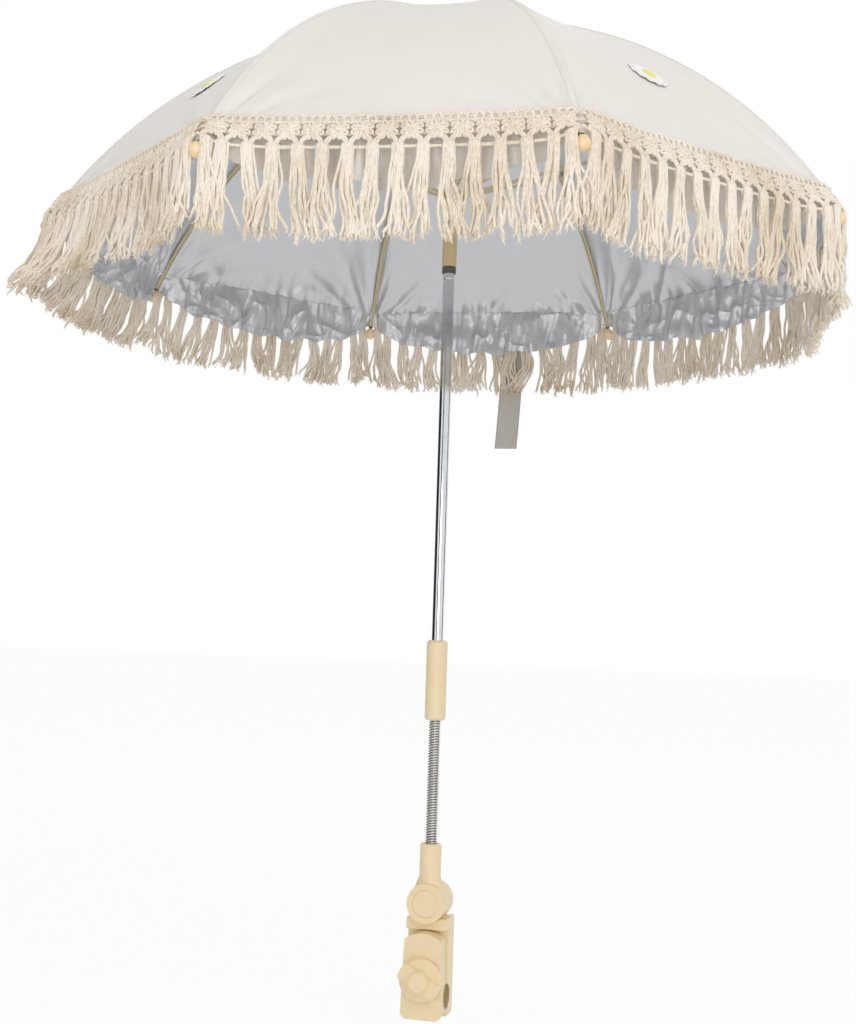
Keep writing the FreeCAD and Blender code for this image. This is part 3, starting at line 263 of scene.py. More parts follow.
# Felted white polyester of the daisies
PETAL_FELT = Finish("white felt", "#FFFFFF", "#F7F6F2", Texture.MOULDED, 0.8, 0.08, 0.9, sheen=0.3)
# Yellow embroidery thread of the daisies' middles
YELLOW_THREAD = Finish("yellow thread", "#F6F0A2", "#E8DF7C", Texture.MOULDED, 0.7, 0.2, 0.8, sheen=0.2)
# Sewing thread in the cloth's own shade, for the seams along the ribs
SEAM_THREAD = Finish("pale sewing thread", "#E4DFD7", "#D3CDC3", Texture.YARN, 0.5, 0.03, 0.8)
# Grey sewing thread of the gathers and hems
HEM_THREAD = Finish("grey sewing thread", "#A9A9AB", "#8F8F92", Texture.YARN, 0.5, 0.03, 0.8)
# Black linen thread that ties the cloth to the rib tips
TIE_THREAD = Finish("black linen thread", "#3B3937", "#2B2A28", Texture.YARN, 0.5, 0.03, 0.7)
# Dark moulded ring under the runner
DARK_NYLON = Finish("moulded grey nylon", "#605E5C", "#53514F", Texture.MOULDED, 1.0, 0.02, 0.5)


def new_piece(name: str, mesh: bpy.types.Mesh, finishes: Iterable[Finish],
              smooth: bool = True) -> bpy.types.Object:
    """Put a mesh into the scene as a finished piece.

    Args:
        name: The piece's name.
        mesh: Its mesh, in place.
        finishes: One finish for each material slot.
        smooth: Whether faces are shaded smooth.

    Returns:
        The new object, at the origin.
    """
    mesh.name = name
    for finish in finishes:
        mesh.materials.append(finish.material())
    for polygon in mesh.polygons:
        polygon.use_smooth = smooth
    made = bpy.data.objects.new(name, mesh)
    bpy.context.scene.collection.objects.link(made)
    return made


def attach(piece: bpy.types.Object, body: str) -> None:
    """Parent a piece to the body that it moves with."""
    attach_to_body(piece, body)


def mesh_from(form: bmesh.types.BMesh) -> bpy.types.Mesh:
    """Turn a bmesh into a mesh and free it."""
    mesh = bpy.data.meshes.new("form")
    form.to_mesh(mesh)
    form.free()
    return mesh


def turned_form(profile: list[tuple[float, float]], steps: int) -> bmesh.types.BMesh:
    """Spin a profile about the pole's axis.

    Args:
        profile: Radius and height of each point, from bottom to top.
        steps: Facets round the axis.

    Returns:
        The turned shell.
    """
    form = bmesh.new()
    points = [form.verts.new((radius, 0.0, up)) for radius, up in profile]
    edges = [form.edges.new(pair) for pair in zip(points, points[1:])]
    bmesh.ops.spin(form, geom=points + edges, axis=(0, 0, 1), cent=(0, 0, 0), angle=2 * math.pi, steps=steps,
                   use_merge=True)
    bmesh.ops.remove_doubles(form, verts=form.verts, dist=1e-6)
    bmesh.ops.recalc_face_normals(form, faces=form.faces)
    return form


def shaped_sheet(columns: int, rows: int, shape: Callable[[float, float], Vector],
                 size: tuple[float, float]) -> bmesh.types.BMesh:
    """Bend a flat grid into a sheet of cloth.

    Args:
        columns: Cells across.
        rows: Cells along.
        shape: Gives the place of a point from its shares across and along, each 0 to 1.
        size: Width and length of the sheet, which the weave's map is drawn to.

    Returns:
        The sheet, with a map in metres.
    """
    form = bmesh.new()
    layer = form.loops.layers.uv.new("UVMap")
    bmesh.ops.create_grid(form, x_segments=columns, y_segments=rows, size=0.5, calc_uvs=True)
    for face in form.faces:
        for loop in face.loops:
            across, along = loop.vert.co.x + 0.5, loop.vert.co.y + 0.5
            loop[layer].uv = (across * size[0], along * size[1])
    for vert in form.verts:
        vert.co = shape(vert.co.x + 0.5, vert.co.y + 0.5)
    return form


class Strands:
    """Many thin cords of one piece, drawn as the splines of one curve and then meshed."""

    def __init__(self, name: str, thickness: float, sides: int = 1) -> None:
        """Start with no cords.

        Args:
            name: The piece's name.
            thickness: Diameter of a cord whose points have a radius of one.
            sides: Bevel steps of a cord's section.
        """
        self.curve = bpy.data.curves.new(name, "CURVE")
        self.curve.dimensions = "3D"
        self.curve.bevel_depth = thickness / 2
        self.curve.bevel_resolution = sides
        self.curve.resolution_u = 2
        self.curve.use_fill_caps = True

    def add(self, points: list[Vector], radii: list[float] | None = None) -> None:
        """Add one cord along control points.

        Args:
            points: Control points of a smooth spline.
            radii: Thickness at each point, as a share of the full one.
        """
        spline = self.curve.splines.new("NURBS")
        spline.points.add(len(points) - 1)
        for index, point in enumerate(points):
            spline.points[index].co = (*point, 1.0)
            spline.points[index].radius = radii[index] if radii else 1.0
        spline.order_u = 3
        spline.use_endpoint_u = True

    def mesh(self) -> bpy.types.Mesh:
        """Give all cords as one mesh and remove the curve."""
        holder = bpy.data.objects.new("strands", self.curve)
        bpy.context.scene.collection.objects.link(holder)
        bpy.context.view_layer.update()
        made = bpy.data.meshes.new_from_object(holder.evaluated_get(bpy.context.evaluated_depsgraph_get()))
        bpy.data.objects.remove(holder)
        bpy.data.curves.remove(self.curve)
        return made


@dataclass(frozen=True)
class Dome:
    """The canopy's shape, shared by cloth, fringe and trim.

    Attributes:
        rim_height: Height of the rib tips above the clamp's mouth.
        rim_radius: Rib tips' distance from the pole.
        rise: Height of the crown above the rib tips.
        arc_radius: Radius of the cloth's arc along a rib.
        turn: The canopy's turn about the pole, in degrees.
        hole: Radius of the hole at the crown.
        seam: Height of the gathered seam above the rib tips.
        hollow: How far a taut panel is drawn in between its ribs.
        bead_overlap: How far the bead reaches in under the rim.
        rib_depth: Depth of the rib's middle line under the cloth's outside.
    """

    rim_height: float = 687 * MM
    rim_radius: float = 372 * MM
    rise: float = 230 * MM
    arc_radius: float = 475 * MM
    turn: float = 6.0
    hole: float = 4 * MM
    seam: float = 20 * MM
    hollow: float = 5 * MM
    bead_overlap: float = 3 * MM
    rib_depth: float = 3.6 * MM

    @property
    def centre(self) -> tuple[float, float]:
        """Distance from the pole, and height, of the arc's centre."""
        chord = math.hypot(self.rim_radius, self.rise)
        reach = math.sqrt(self.arc_radius ** 2 - chord ** 2 / 4)
        return (self.rim_radius / 2 - reach * self.rise / chord,
                self.rim_height + self.rise / 2 - reach * self.rim_radius / chord)

    def out_at(self, up: float) -> float:
        """Distance from the pole of the cloth on a rib at a height."""
        out, level = self.centre
        return out + math.sqrt(self.arc_radius ** 2 - (up - level) ** 2)

    @property
    def tip_angle(self) -> float:
        """Slope of the rib's tip, seen from the arc's centre."""
        lean = math.asin((self.rim_radius - self.centre[0]) / self.arc_radius)
        return lean - self.bead_overlap / self.arc_radius

    def off_arc(self, angle: float, lift: float) -> tuple[float, float]:
        """Distance from the pole and height of a point on a rib, lifted off the cloth's arc."""
        out, level = self.centre
        reach = self.arc_radius + lift
        return out + reach * math.sin(angle), level + reach * math.cos(angle)

    def rib_angle(self, rib: int) -> float:
        """Direction of a rib about the pole, from +X."""
        return math.radians(self.turn - 90) + HALF_PANEL * (2 * rib - 1)

    def along_rib(self, share: float) -> tuple[float, float]:
        """Distance from the pole and height of the cloth on a rib.

        Args:
            share: 0 at the crown hole and 1 at the gathered seam.

        Returns:
            Distance and height.
        """
        out, level = self.centre
        first = math.asin((self.hole - out) / self.arc_radius)
        last = math.acos((self.rim_height + self.seam - level) / self.arc_radius)
        angle = first + (last - first) * share
        return out + self.arc_radius * math.sin(angle), level + self.arc_radius * math.cos(angle)


def crease(turn: float) -> float:
    """Height of a sharp crease, 0 to 1, that comes back every half turn."""
    return (1 - abs(math.sin(turn))) ** CREASE_SHARPNESS


def fade(distance: float, size: tuple[float, float]) -> float:
    """Depth of a crease at a distance from its start, from its depth there and its reach."""
    depth, reach = size
    return depth * math.exp(-distance / reach)


def half_letter(half: int) -> str:
    """Letter in the name of the first or the second half of a length."""
    return "a" if half < 0 else "b"


def panel_place(rib: int, side: int, share: float) -> tuple[int, float]:
    """Find a place in the panel beside a rib.

    Args:
        rib: Number of the rib.
        side: 1 or -1 for the side of the rib.
        share: 0 at the rib and 1 in the middle of the panel.

    Returns:
        Number of the rib before the panel, and 0 to 1 from that rib to the next.
    """
    if side > 0:
        return rib, share / 2
    return (rib - 2) % RIB_COUNT + 1, (2 - share) / 2


def tangent(angle: float) -> tuple[float, float, float]:
    """Level direction along a side that faces a direction."""
    return -math.sin(angle), math.cos(angle), 0.0


def around(out: float, angle: float, up: float) -> Vector:
    """A point from its distance to the pole, its direction and its height."""
    return Vector((out * math.cos(angle), out * math.sin(angle), up))


def side_point(along: float, out: float, up: float, angle: float) -> Vector:
    """A point on one straight side of the rim.

    Args:
        along: Distance from the side's middle, towards the next rib.
        out: Distance of the side's plane from the pole.
        up: Height.
        angle: Direction that the side faces.

    Returns:
        The point.
    """
    normal = Vector((math.cos(angle), math.sin(angle), 0.0))
    return normal * out + Vector(tangent(angle)) * along + UP * up


@dataclass
class Canopy:
    """The sewn cloth: eight gores that each follow a rib, and the ruffle under them.

    Attributes:
        dome: The shape that the cloth is stretched to.
        thickness: The cloth's thickness.
        ruffle_drop: The ruffle's length in the middle of a panel.
        seat: Half the width of the ruffle that lies flat over a rib.
        ruffle_flare: How far the ruffle stands out at its hem.
        fold_depth: Half the depth of the ruffle's folds.
        folds: Folds in a panel.
        crinkle: Depth and size of the sharp creases in the ruffle.
        ruffle_gathers: Depth of the gathers at its seam, and of the folds that wander below.
        hem_wave: How far its hem rises and falls.
        hem_clear: Distance of the hem from a rib's tip, and from the rib's arc.
        puff: How far the ruffle bulges between seam and hem.
        tuck: How far it lies in under the seam.
        fold_share: Share of its width that a gore would keep when the frame is folded; passed to draw_in,
            which does not apply it.
        ruffle_share: The same share for the ruffle.
        slack_panels: Panels whose cloth is less taut, at the back, by the rib before each.
        taut_share: Depth of the crumples in the other panels, as a share of theirs.
        tip_drop: Distance of a rib's tip below the gathered seam, along the cloth.
        smooth: Width beside a rib in which the creases grow to their depth.
        ridge: Height and half width of the felled seam over a rib.
        broad: Depth and reach of the broad creases that fan out from a rib's tip.
        fine: The same for the fine ones between them.
        puckers: The same for the puckers of the gathered seam.
        upright: The same for the creases that stand on the seam.
        gathers: The same for the loose gathers of the slack cloth.
        crumples: The same for its level crumples.
        gore_cells: Cells across and along a gore.
        ruffle_cells: Cells across and along half a ruffle.
        gores: The gores, by rib.
        ruffles: The halves of the ruffle, by rib and side of the rib.
        areas: Area of the cloth in each sheet, by name.
        sewn_on: What is sewn on each sheet, by name.
    """

    dome: Dome
    thickness: float = 0.5 * MM
    ruffle_drop: float = 51 * MM
    seat: float = 5.6 * MM
    ruffle_flare: float = 2 * MM
    fold_depth: float = 4.4 * MM
    folds: int = 5
    crinkle: tuple[float, float] = (4.0 * MM, 52 * MM)
    ruffle_gathers: tuple[float, float] = (1.7 * MM, 1.2 * MM)
    hem_wave: float = 2.0 * MM
    hem_clear: float = 0.6 * MM
    puff: float = 1.0 * MM
    tuck: float = 3 * MM
    fold_share: float = 0.38
    ruffle_share: float = 0.12
    slack_panels: tuple[int, ...] = (2, 3, 4, 5, 6)
    taut_share: float = 0.25
    tip_drop: float = 24 * MM
    smooth: float = 7 * MM
    ridge: tuple[float, float] = (0.5 * MM, 4 * MM)
    broad: tuple[float, float] = (7.0 * MM, 80 * MM)
    fine: tuple[float, float] = (4.0 * MM, 50 * MM)
    puckers: tuple[float, float] = (0.9 * MM, 9 * MM)
    upright: tuple[float, float] = (3.2 * MM, 36 * MM)
    gathers: tuple[float, float] = (2.6 * MM, 14 * MM)
    crumples: tuple[float, float] = (4.5 * MM, 50 * MM)
    gore_cells: tuple[int, int] = (128, 76)
    ruffle_cells: tuple[int, int] = (110, 18)
    gores: dict[int, bpy.types.Object] = field(default_factory=dict)
    ruffles: dict[tuple[int, int], bpy.types.Object] = field(default_factory=dict)
    areas: dict[str, float] = field(default_factory=dict)
    sewn_on: dict[str, list[bpy.types.Object]] = field(default_factory=dict)

    def build(self) -> None:
        """Make every gore and its two lengths of ruffle."""
        for rib in RIBS:
            gore = self.gore(rib)
            attach(gore, f"rib_arm_{rib}")
            self.crumple(gore, rib)
            self.gores[rib] = gore
            for half in HALVES:
                ruffle = self.ruffle(rib, half)
                attach(ruffle, f"fringe_wing_{rib}")
                self.bunch(ruffle, rib, half)
                self.ruffles[rib, half] = ruffle
            LOG.info("gore and ruffle %d", rib)
        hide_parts("canopy")
        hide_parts("canopy_ruffle")

    def sew_on(self, cloth: bpy.types.Object, trim: bpy.types.Object) -> None:
        """Note that a piece of trim is sewn to a piece of cloth."""
        self.sewn_on.setdefault(cloth.name, []).append(trim)

    def declare(self) -> None:
        """Look up the cut size of every sheet and what is sewn on it; the values are not kept or passed on.
        """
        for rib in RIBS:
            gore = self.gores[rib]
            self.width
            self.length
            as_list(self.sewn_on.get(gore.name, []))
            for half in HALVES:
                ruffle = self.ruffles[rib, half]
                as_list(self.sewn_on.get(ruffle.name, []))

    def draw_in(self, piece: bpy.types.Object, rib: int, angle: float, keep: float) -> None:
        """Give a piece of cloth its own copy of its mesh; it is not drawn together as the frame folds.

        Args:
            piece: The cloth, or what is sewn on it.
            rib: Number of the rib that it follows.
            angle: Direction that the cloth faces; not used.
            keep: Share of its width that is left when the frame is folded; not used.
        """
        anchor = around(self.dome.rim_radius, self.dome.rib_angle(rib), self.dome.rim_height)
        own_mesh(piece)

    def crumple(self, piece: bpy.types.Object, rib: int) -> None:
        """Pass a gore, or what is sewn on it, to draw_in with the gore's fold share."""
        self.draw_in(piece, rib, self.dome.rib_angle(rib), self.fold_share)

    def bunch(self, piece: bpy.types.Object, rib: int, half: int) -> None:
        """Pass half a ruffle, or what is sewn on it, to draw_in with the ruffle's fold share."""
        self.draw_in(piece, rib, self.dome.rib_angle(rib) + half * HALF_PANEL, self.ruffle_share)

    @property
    def width(self) -> float:
        """Width of a gore along the gathered seam."""
        return 2 * self.dome.along_rib(1.0)[0] * math.sin(HALF_PANEL)

    @property
    def half_width(self) -> float:
        """Width of half a ruffle along the rim."""
        return self.dome.out_at(self.dome.rim_height) * math.sin(HALF_PANEL)

    @property
    def length(self) -> float:
        """Length of the cloth along a rib, from the crown to the seam."""
        chord = math.dist(self.dome.along_rib(0.0), self.dome.along_rib(1.0))
        return self.dome.arc_radius * 2 * math.asin(chord / 2 / self.dome.arc_radius)

    def wrinkle(self, rib: int, side: int, away: float, above: float) -> float:
        """Depth of the creases in a panel.

        Args:
            rib: Number of the rib that pulls the cloth.
            side: 1 or -1 for the side of the rib.
            away: Distance from the rib.
            above: Distance from the gathered seam, up the panel.

        Returns:
            How far the cloth lies inwards.
        """
        # The shares of rib and side in a phase keep the creases from repeating round the rim
        tip = above + self.tip_drop
        fan = math.atan2(away, tip)
        reach = math.hypot(away, tip)
        bend = 1.3 * math.sin(reach / (31 * MM) + rib)
        pucker = away / (1.4 * MM) + 1.6 * math.sin(away / (9 * MM) + rib)
        depth = crease(6.5 * fan + 0.95 * rib + 0.5 * side + 0.5 * bend) * fade(reach, self.broad)
        depth += crease(14.5 * fan + 0.35 * rib - 0.5 * side - 0.5 * bend) * fade(reach, self.fine)
        depth += (1 + math.sin(pucker)) * fade(above, self.puckers)
        depth += crease(away / (15 * MM) + 1.05 * rib + 0.5 * side + 0.6 * bend) * fade(above, self.upright)
        return depth * min(away / self.smooth, 1.0)

    def slack(self, rib: int, side: int, share: float, above: float) -> float:
        """Depth of the crumples above the gathered seam, which run on from one gore to the next.

        Args:
            rib: Number of the rib that the gore follows.
            side: 1 or -1 for the side of the rib.
            share: 0 at the rib and 1 in the middle of the panel.
            above: Distance from the gathered seam, up the panel.

        Returns:
            How far the cloth lies inwards.
        """
        panel, place = panel_place(rib, side, share)
        way = place * self.width
        gather = way / (3.6 * MM) + 2 * math.sin(way / (17 * MM) + panel)
        level = above / (13 * MM) + 1.8 * math.sin(way / (26 * MM) + 1.7 * panel)
        level += 0.8 * math.sin(way / (11 * MM) - panel)
        depth = (1 + math.sin(gather)) * abs(math.sin(way / (41 * MM) + panel)) * fade(above, self.gathers)
        depth += crease(level) * abs(math.sin(way / (52 * MM) + 0.6 * panel)) * fade(above, self.crumples)
        loose = 1.0 if panel in self.slack_panels else self.taut_share
        return depth * math.sin(math.pi * place) ** 0.5 * loose

    def taut_point(self, rib: int, across: float, along: float) -> Vector:
        """A point of a gore, drawn in between the ribs and creased towards the rib's tip.

        Args:
            rib: Number of the rib that the gore follows.
            across: 0 to 1 from one panel's middle to the next one's.
            along: 0 to 1 from the crown to the seam.

        Returns:
            The point on the cloth's outside.
        """
        out, up = self.dome.along_rib(along)
        side = 1 if across > 0.5 else -1
        share = abs(2 * across - 1)
        apothem = out * math.cos(HALF_PANEL)
        span = apothem * math.tan(HALF_PANEL)
        angle = self.dome.rib_angle(rib) + side * HALF_PANEL
        centre_out, centre_up = self.dome.centre
        lean = math.atan2(out - centre_out, up - centre_up)
        draw = self.dome.hollow * (1 - (1 - share) ** 2) * math.sin(math.pi * along) ** 0.8
        away = share * span
        ridge = self.ridge[0] * max(1 - (away / self.ridge[1]) ** 2, 0.0)
        hold = (1 - share ** 5) ** 2
        above = (1 - along) * self.length
        inward = draw - ridge + hold * self.wrinkle(rib, side, away, above)
        inward += self.slack(rib, side, share, above)
        return side_point(-side * span * (1 - share), apothem - inward * math.sin(lean),
                          up - inward * math.cos(lean), angle)

    def gore(self, rib: int) -> bpy.types.Object:
        """Make the cloth on both sides of a rib, to the middles of its panels."""
        form = shaped_sheet(*self.gore_cells, lambda x, y: self.taut_point(rib, x, 1 - (1 - y) ** 1.4),
                            (self.width, self.length))
        return self.lined(f"canopy_gore_{rib}", form, SILVER_COATING)

    def lined(self, name: str, form: bmesh.types.BMesh, lining: Finish) -> bpy.types.Object:
        """Turn a bent sheet into a coated piece, and note the cloth that it takes.

        Args:
            name: The piece's name.
            form: The sheet.
            lining: Finish of its inside.

        Returns:
            The new piece.
        """
        self.areas[name] = sum(face.calc_area() for face in form.faces)
        bmesh.ops.recalc_face_normals(form, faces=form.faces)
        self.face_outwards(form)
        made = new_piece(name, mesh_from(form), (CANOPY_CLOTH, lining))
        self.thicken(made)
        return made

    def face_outwards(self, form: bmesh.types.BMesh) -> None:
        """Turn a sheet's faces away from the pole, and keep its cut edges crisp."""
        for edge in form.edges:
            edge.smooth = not edge.is_boundary
        middle = UP * self.dome.centre[1]
        total = sum(face.normal.dot(face.calc_center_median() - middle) for face in form.faces)
        if total < 0:
            bmesh.ops.reverse_faces(form, faces=form.faces)

    def thicken(self, piece: bpy.types.Object) -> None:
        """Give a sheet its thickness and the silver coating on the inside."""
        wall = piece.modifiers.new("cloth thickness", "SOLIDIFY")
        wall.thickness = self.thickness
        wall.offset = -1.0
        wall.material_offset = 1
        wall.material_offset_rim = 0

    def ruffle_point(self, rib: int, across: float, down: float) -> Vector:
        """A point of the gathered ruffle.

        Args:
            rib: Number of the rib that it hangs by.
            across: 0 to 1 from one panel's middle to the next one's.
            down: 0 at the seam and 1 at the hem.

        Returns:
            The point on the ruffle's outside.
        """
        side = 1 if across > 0.5 else -1
        share = abs(2 * across - 1)
        seam_up = self.dome.rim_height + self.dome.seam
        apothem = self.dome.out_at(seam_up) * math.cos(HALF_PANEL)
        angle = self.dome.rib_angle(rib) + side * HALF_PANEL
        span = apothem * math.tan(HALF_PANEL)
        panel, place = panel_place(rib, side, share)
        free = min(max((2 * span * place - self.seat) / (2 * span - 2 * self.seat), 0.0), 1.0)
        hang = math.sqrt(max(math.sin(math.pi * free), 0.0))
        swing = 2 * math.pi * self.folds * free
        wave = math.sin(swing + 0.9 * math.sin(2.3 * swing / self.folds + panel))
        wave += 0.5 * math.sin(1.73 * swing + 2.1 * panel)
        wave += 0.35 * math.sin(3.9 * swing + 4.2 * panel - 5 * down)
        wave -= 1.3 * crease(0.62 * swing + 2.3 * panel + 0.8 * down)
        wave -= 0.9 * crease(1.3 * swing + panel - 1.5 * down)
        drift = 2.2 * math.sin(0.7 * swing + panel) + 1.5 * math.sin(6 * down + 1.3 * swing)
        gather = self.ruffle_gathers[0] * math.sin(swing * 4.3 + drift) * math.exp(-down * 2.4)
        twist = 4 * down * math.sin(swing + panel)
        gather += self.ruffle_gathers[1] * math.sin(swing * 1.9 + twist) * math.sin(5 * down + 0.8 * swing)
        end_angle = self.dome.tip_angle - self.hem_clear / self.dome.arc_radius
        end_out, end_up = self.dome.off_arc(end_angle, self.hem_clear)
        end_out *= math.cos(HALF_PANEL)
        hem_out = end_out + (apothem + self.ruffle_flare - end_out) * hang
        hem_up = end_up + (seam_up - self.ruffle_drop - end_up) * hang
        hem_up += self.hem_wave * math.sin(1.4 * swing + panel) * hang
        out = apothem + (hem_out - apothem) * down + (self.puff * math.sin(math.pi * down) - self.tuck) * hang
        out += (self.fold_depth * wave * math.sin(0.5 * math.pi * min(down * 1.6, 1.0)) + gather) * hang
        along = -side * span * (1 - share)
        spot = side_point(along, apothem, seam_up - self.ruffle_drop * down, angle)
        ridges = noise.ridged_multi_fractal(spot / self.crinkle[1], 1.0, 2.0, 2, 1.0, 1.0)
        out += self.crinkle[0] * (0.9 - ridges) * hang
        sewn = self.taut_point(rib, across, 1.0)
        loose = side_point(along, out, seam_up + (hem_up - seam_up) * down, angle)
        parted = min(down * 2.6, 1.0)
        return sewn.lerp(loose, parted * parted * (3 - 2 * parted))

    def ruffle(self, rib: int, half: int) -> bpy.types.Object:
        """Make the ruffle on one side of a rib, to the middle of the panel."""
        form = shaped_sheet(*self.ruffle_cells, lambda x, y: self.half_point(rib, half, x, 1 - y),
                            (self.half_width * 1.2, self.ruffle_drop))
        return self.lined(f"ruffle_{rib}{half_letter(half)}", form, CREASED_COATING)

    def half_point(self, rib: int, half: int, share: float, down: float) -> Vector:
        """A point of half a ruffle, from its shares along the half and down it."""
        return self.ruffle_point(rib, (share if half < 0 else 1 + share) / 2, down)


@dataclass(frozen=True)
class Looseness:
    """How far the parts of a tassel stray, each as a standard deviation.

    Attributes:
        lean: Of the tassel's foot, along the side.
        curl: Of the tassel's bend, along the side.
        stand: Of the tassel's foot, outwards.
        length: Of a cord's length.
        foot: Of a cord's foot, along the side.
        stray: Of a stray cord's foot, beyond that.
        stray_share: Share of the cords that stray.
        sag: Of a cord's bend, outwards.
        waves: Of a cord's waves, along the side, with the waves in its length.
    """

    lean: float = 4.5 * MM
    curl: float = 3.6 * MM
    stand: float = 2.4 * MM
    length: float = 3.0 * MM
    foot: float = 1.8 * MM
    stray: float = 6.0 * MM
    stray_share: float = 0.18
    sag: float = 2.8 * MM
    waves: tuple[tuple[float, float], ...] = ((2.4 * MM, 1.3), (1.7 * MM, 2.7))


@dataclass
class Fringe:
    """Macrame band and tassels along the rim.

    Attributes:
        dome: The shape that the band lies on.
        canopy: The cloth that it is sewn to.
        band_top: Height of the picots' tops above the rib tips, at a rib.
        sag: How far the band hangs lower in the middle of a side.
        band_height: Height of the band.
        spread: How far the band slopes out, in the middle of a side and at a rib.
        squeeze: Share of its height that the band loses at a rib.
        bend: Height in which what hangs turns from the band's slope to straight down.
        units: Knots on one side of the rim.
        cord: Diameter of a cord.
        tassel: Length of a tassel.
        tassel_cords: Cords in a tassel.
        fibres: Frayed fibres at a cord's end.
        swing: How far the tassels stand out at their ends, by rib.
        fold_share: Share of its width that a wing would keep when the frame is folded; not used.
        loose: How far the tassels stray.
    """

    dome: Dome
    canopy: Canopy
    band_top: float = 24 * MM
    sag: float = 2.5 * MM
    band_height: float = 28 * MM
    spread: tuple[float, float] = (10 * MM, 18 * MM)
    squeeze: float = 0.4
    bend: float = 8 * MM
    units: int = 15
    cord: float = 2.4 * MM
    tassel: float = 63 * MM
    tassel_cords: int = 12
    fibres: int = 3
    swing: dict[int, float] = field(default_factory=lambda: {5: 8 * MM, 6: 24 * MM, 7: 28 * MM, 8: 4 * MM})
    fold_share: float = 0.16
    loose: Looseness = Looseness()

    def top_out(self, up: float) -> float:
        """Distance of the band's upper edge from the pole, in the plane of a side."""
        return self.dome.out_at(up) * math.cos(HALF_PANEL) + 1.6 * MM

    @property
    def edge_out(self) -> float:
        """Distance of the band's lower edge from the pole, at the end of a side."""
        return self.top_out(self.dome.rim_height + self.band_top) + self.spread[1]

    @property
    def reach(self) -> float:
        """Half the length of a side, along the band's lower edge."""
        return self.edge_out * math.tan(HALF_PANEL)

    @property
    def slope(self) -> float:
        """Length of the band down its slope, in the middle of a side."""
        return math.hypot(self.band_height, self.spread[0])

    def place(self, angle: float, along: float, share: float, drop: float, lift: float) -> Vector:
        """A point of the fringe from its place on the band.

        Args:
            angle: Direction that the side faces.
            along: Distance from the side's middle.
            share: 0 at the band's upper edge and 1 at its lower one.
            drop: Distance straight down from there.
            lift: Distance off the band.

        Returns:
            The point.
        """
        near = min(abs(along) / self.reach, 1.0)
        spread = self.spread[0] + (self.spread[1] - self.spread[0]) * near ** 4
        depth = (1 - self.squeeze * near ** 12) * share
        tilt = math.atan2(spread, self.band_height) * (1 - min(drop / self.bend, 1.0))
        top_up = self.dome.rim_height + self.band_top - self.sag * (1 - near * near)
        out = self.top_out(top_up) + spread * depth + lift * math.cos(tilt)
        up = top_up - self.band_height * depth - drop + lift * math.sin(tilt)
        return side_point(along * min(out / self.edge_out, 1.0), out, up, angle)

    def build(self) -> None:
        """Make both halves of every side."""
        for side in range(RIB_COUNT):
            angle = self.dome.rib_angle(side + 1) + HALF_PANEL
            for half in HALVES:
                self.wing(side, angle, half)
            LOG.info("fringe side %d", side + 1)

    def wing(self, side: int, angle: float, half: int) -> None:
        """Make the knots and tassels of half a side, and hang them on a rib.

        Args:
            side: Number of the side.
            angle: Direction that it faces.
            half: -1 for the half at the lower rib and 1 for the other.
        """
        chance = random.Random(100 * side + half)
        ends = (side % RIB_COUNT + 1, (side + 1) % RIB_COUNT + 1)
        rib = ends[0] if half < 0 else ends[1]
        name = f"macrame_{side + 1}{half_letter(half)}"
        pitch = 2 * self.reach / (self.units + 0.4)
        cords = Strands(name, self.cord)
        self.carriers(cords, angle, half, chance)
        for unit in range(self.units):
            middle = (unit - (self.units - 1) / 2) * pitch
            if (middle < -1e-6) == (half < 0):
                self.knot(cords, angle, middle, pitch, chance)
        for unit in range(self.units + 1):
            middle = (unit - self.units / 2) * pitch
            if (middle < 0) == (half < 0):
                corner = abs(middle) > self.reach - pitch * 0.5
                middle *= 0.955 if corner else 1.0
                share = (middle / self.reach + 1) / 2
                swing = self.swing.get(ends[0], 0.0) * (1 - share) + self.swing.get(ends[1], 0.0) * share
                self.hang_tassel(cords, angle, middle, pitch, swing, chance)
        made = new_piece(name, cords.mesh(), (COTTON_CORD,))
        attach(made, f"fringe_wing_{rib}")
        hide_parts(f"fringe_{rib}")
        self.canopy.sew_on(self.canopy.ruffles[rib, -half], made)
        self.draw_in(made, angle, half)

    def draw_in(self, piece: bpy.types.Object, angle: float, half: int) -> None:
        """Give what hangs on half a side its own copy of its mesh; it is not drawn together as the frame
        folds.
        """
        corner = side_point(half * self.reach, self.edge_out, self.dome.rim_height, angle)
        tangent(angle)
        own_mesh(piece)

    def carriers(self, cords: Strands, angle: float, half: int, chance: random.Random) -> None:
        """Run the level cords that the knots are tied round, and the plait under the picots."""
        steps = 64
        for strand in (0, 1):
            points = []
            for step in range(steps + 1):
                turn = math.pi * (step / 2 + strand)
                share = 0.25 + 0.035 * math.sin(turn)
                points.append(self.place(angle, half * self.reach * step / steps, share, 0.0,
                                         (1.4 + 0.9 * math.cos(turn)) * MM))
            cords.add(points)
        for share, lift, thick in ((0.6, 0.8, 0.8), (0.96, 0.7, 0.85), (0.99, 1.2, 0.85)):
            points = []
            for step in range(13):
                level = share + chance.uniform(-0.015, 0.015)
                points.append(self.place(angle, half * self.reach * step / 12, level, 0.0, lift * MM))
            cords.add(points, [thick] * len(points))

    def knot(self, cords: Strands, angle: float, middle: float, pitch: float, chance: random.Random) -> None:
        """Tie one flower knot: picots above, a ring of looped petals, and bowed legs below."""
        heart = 0.5

        def spot(along: float, share: float, lift: float) -> Vector:
            return self.place(angle, middle + along, share, 0.0, lift * MM)

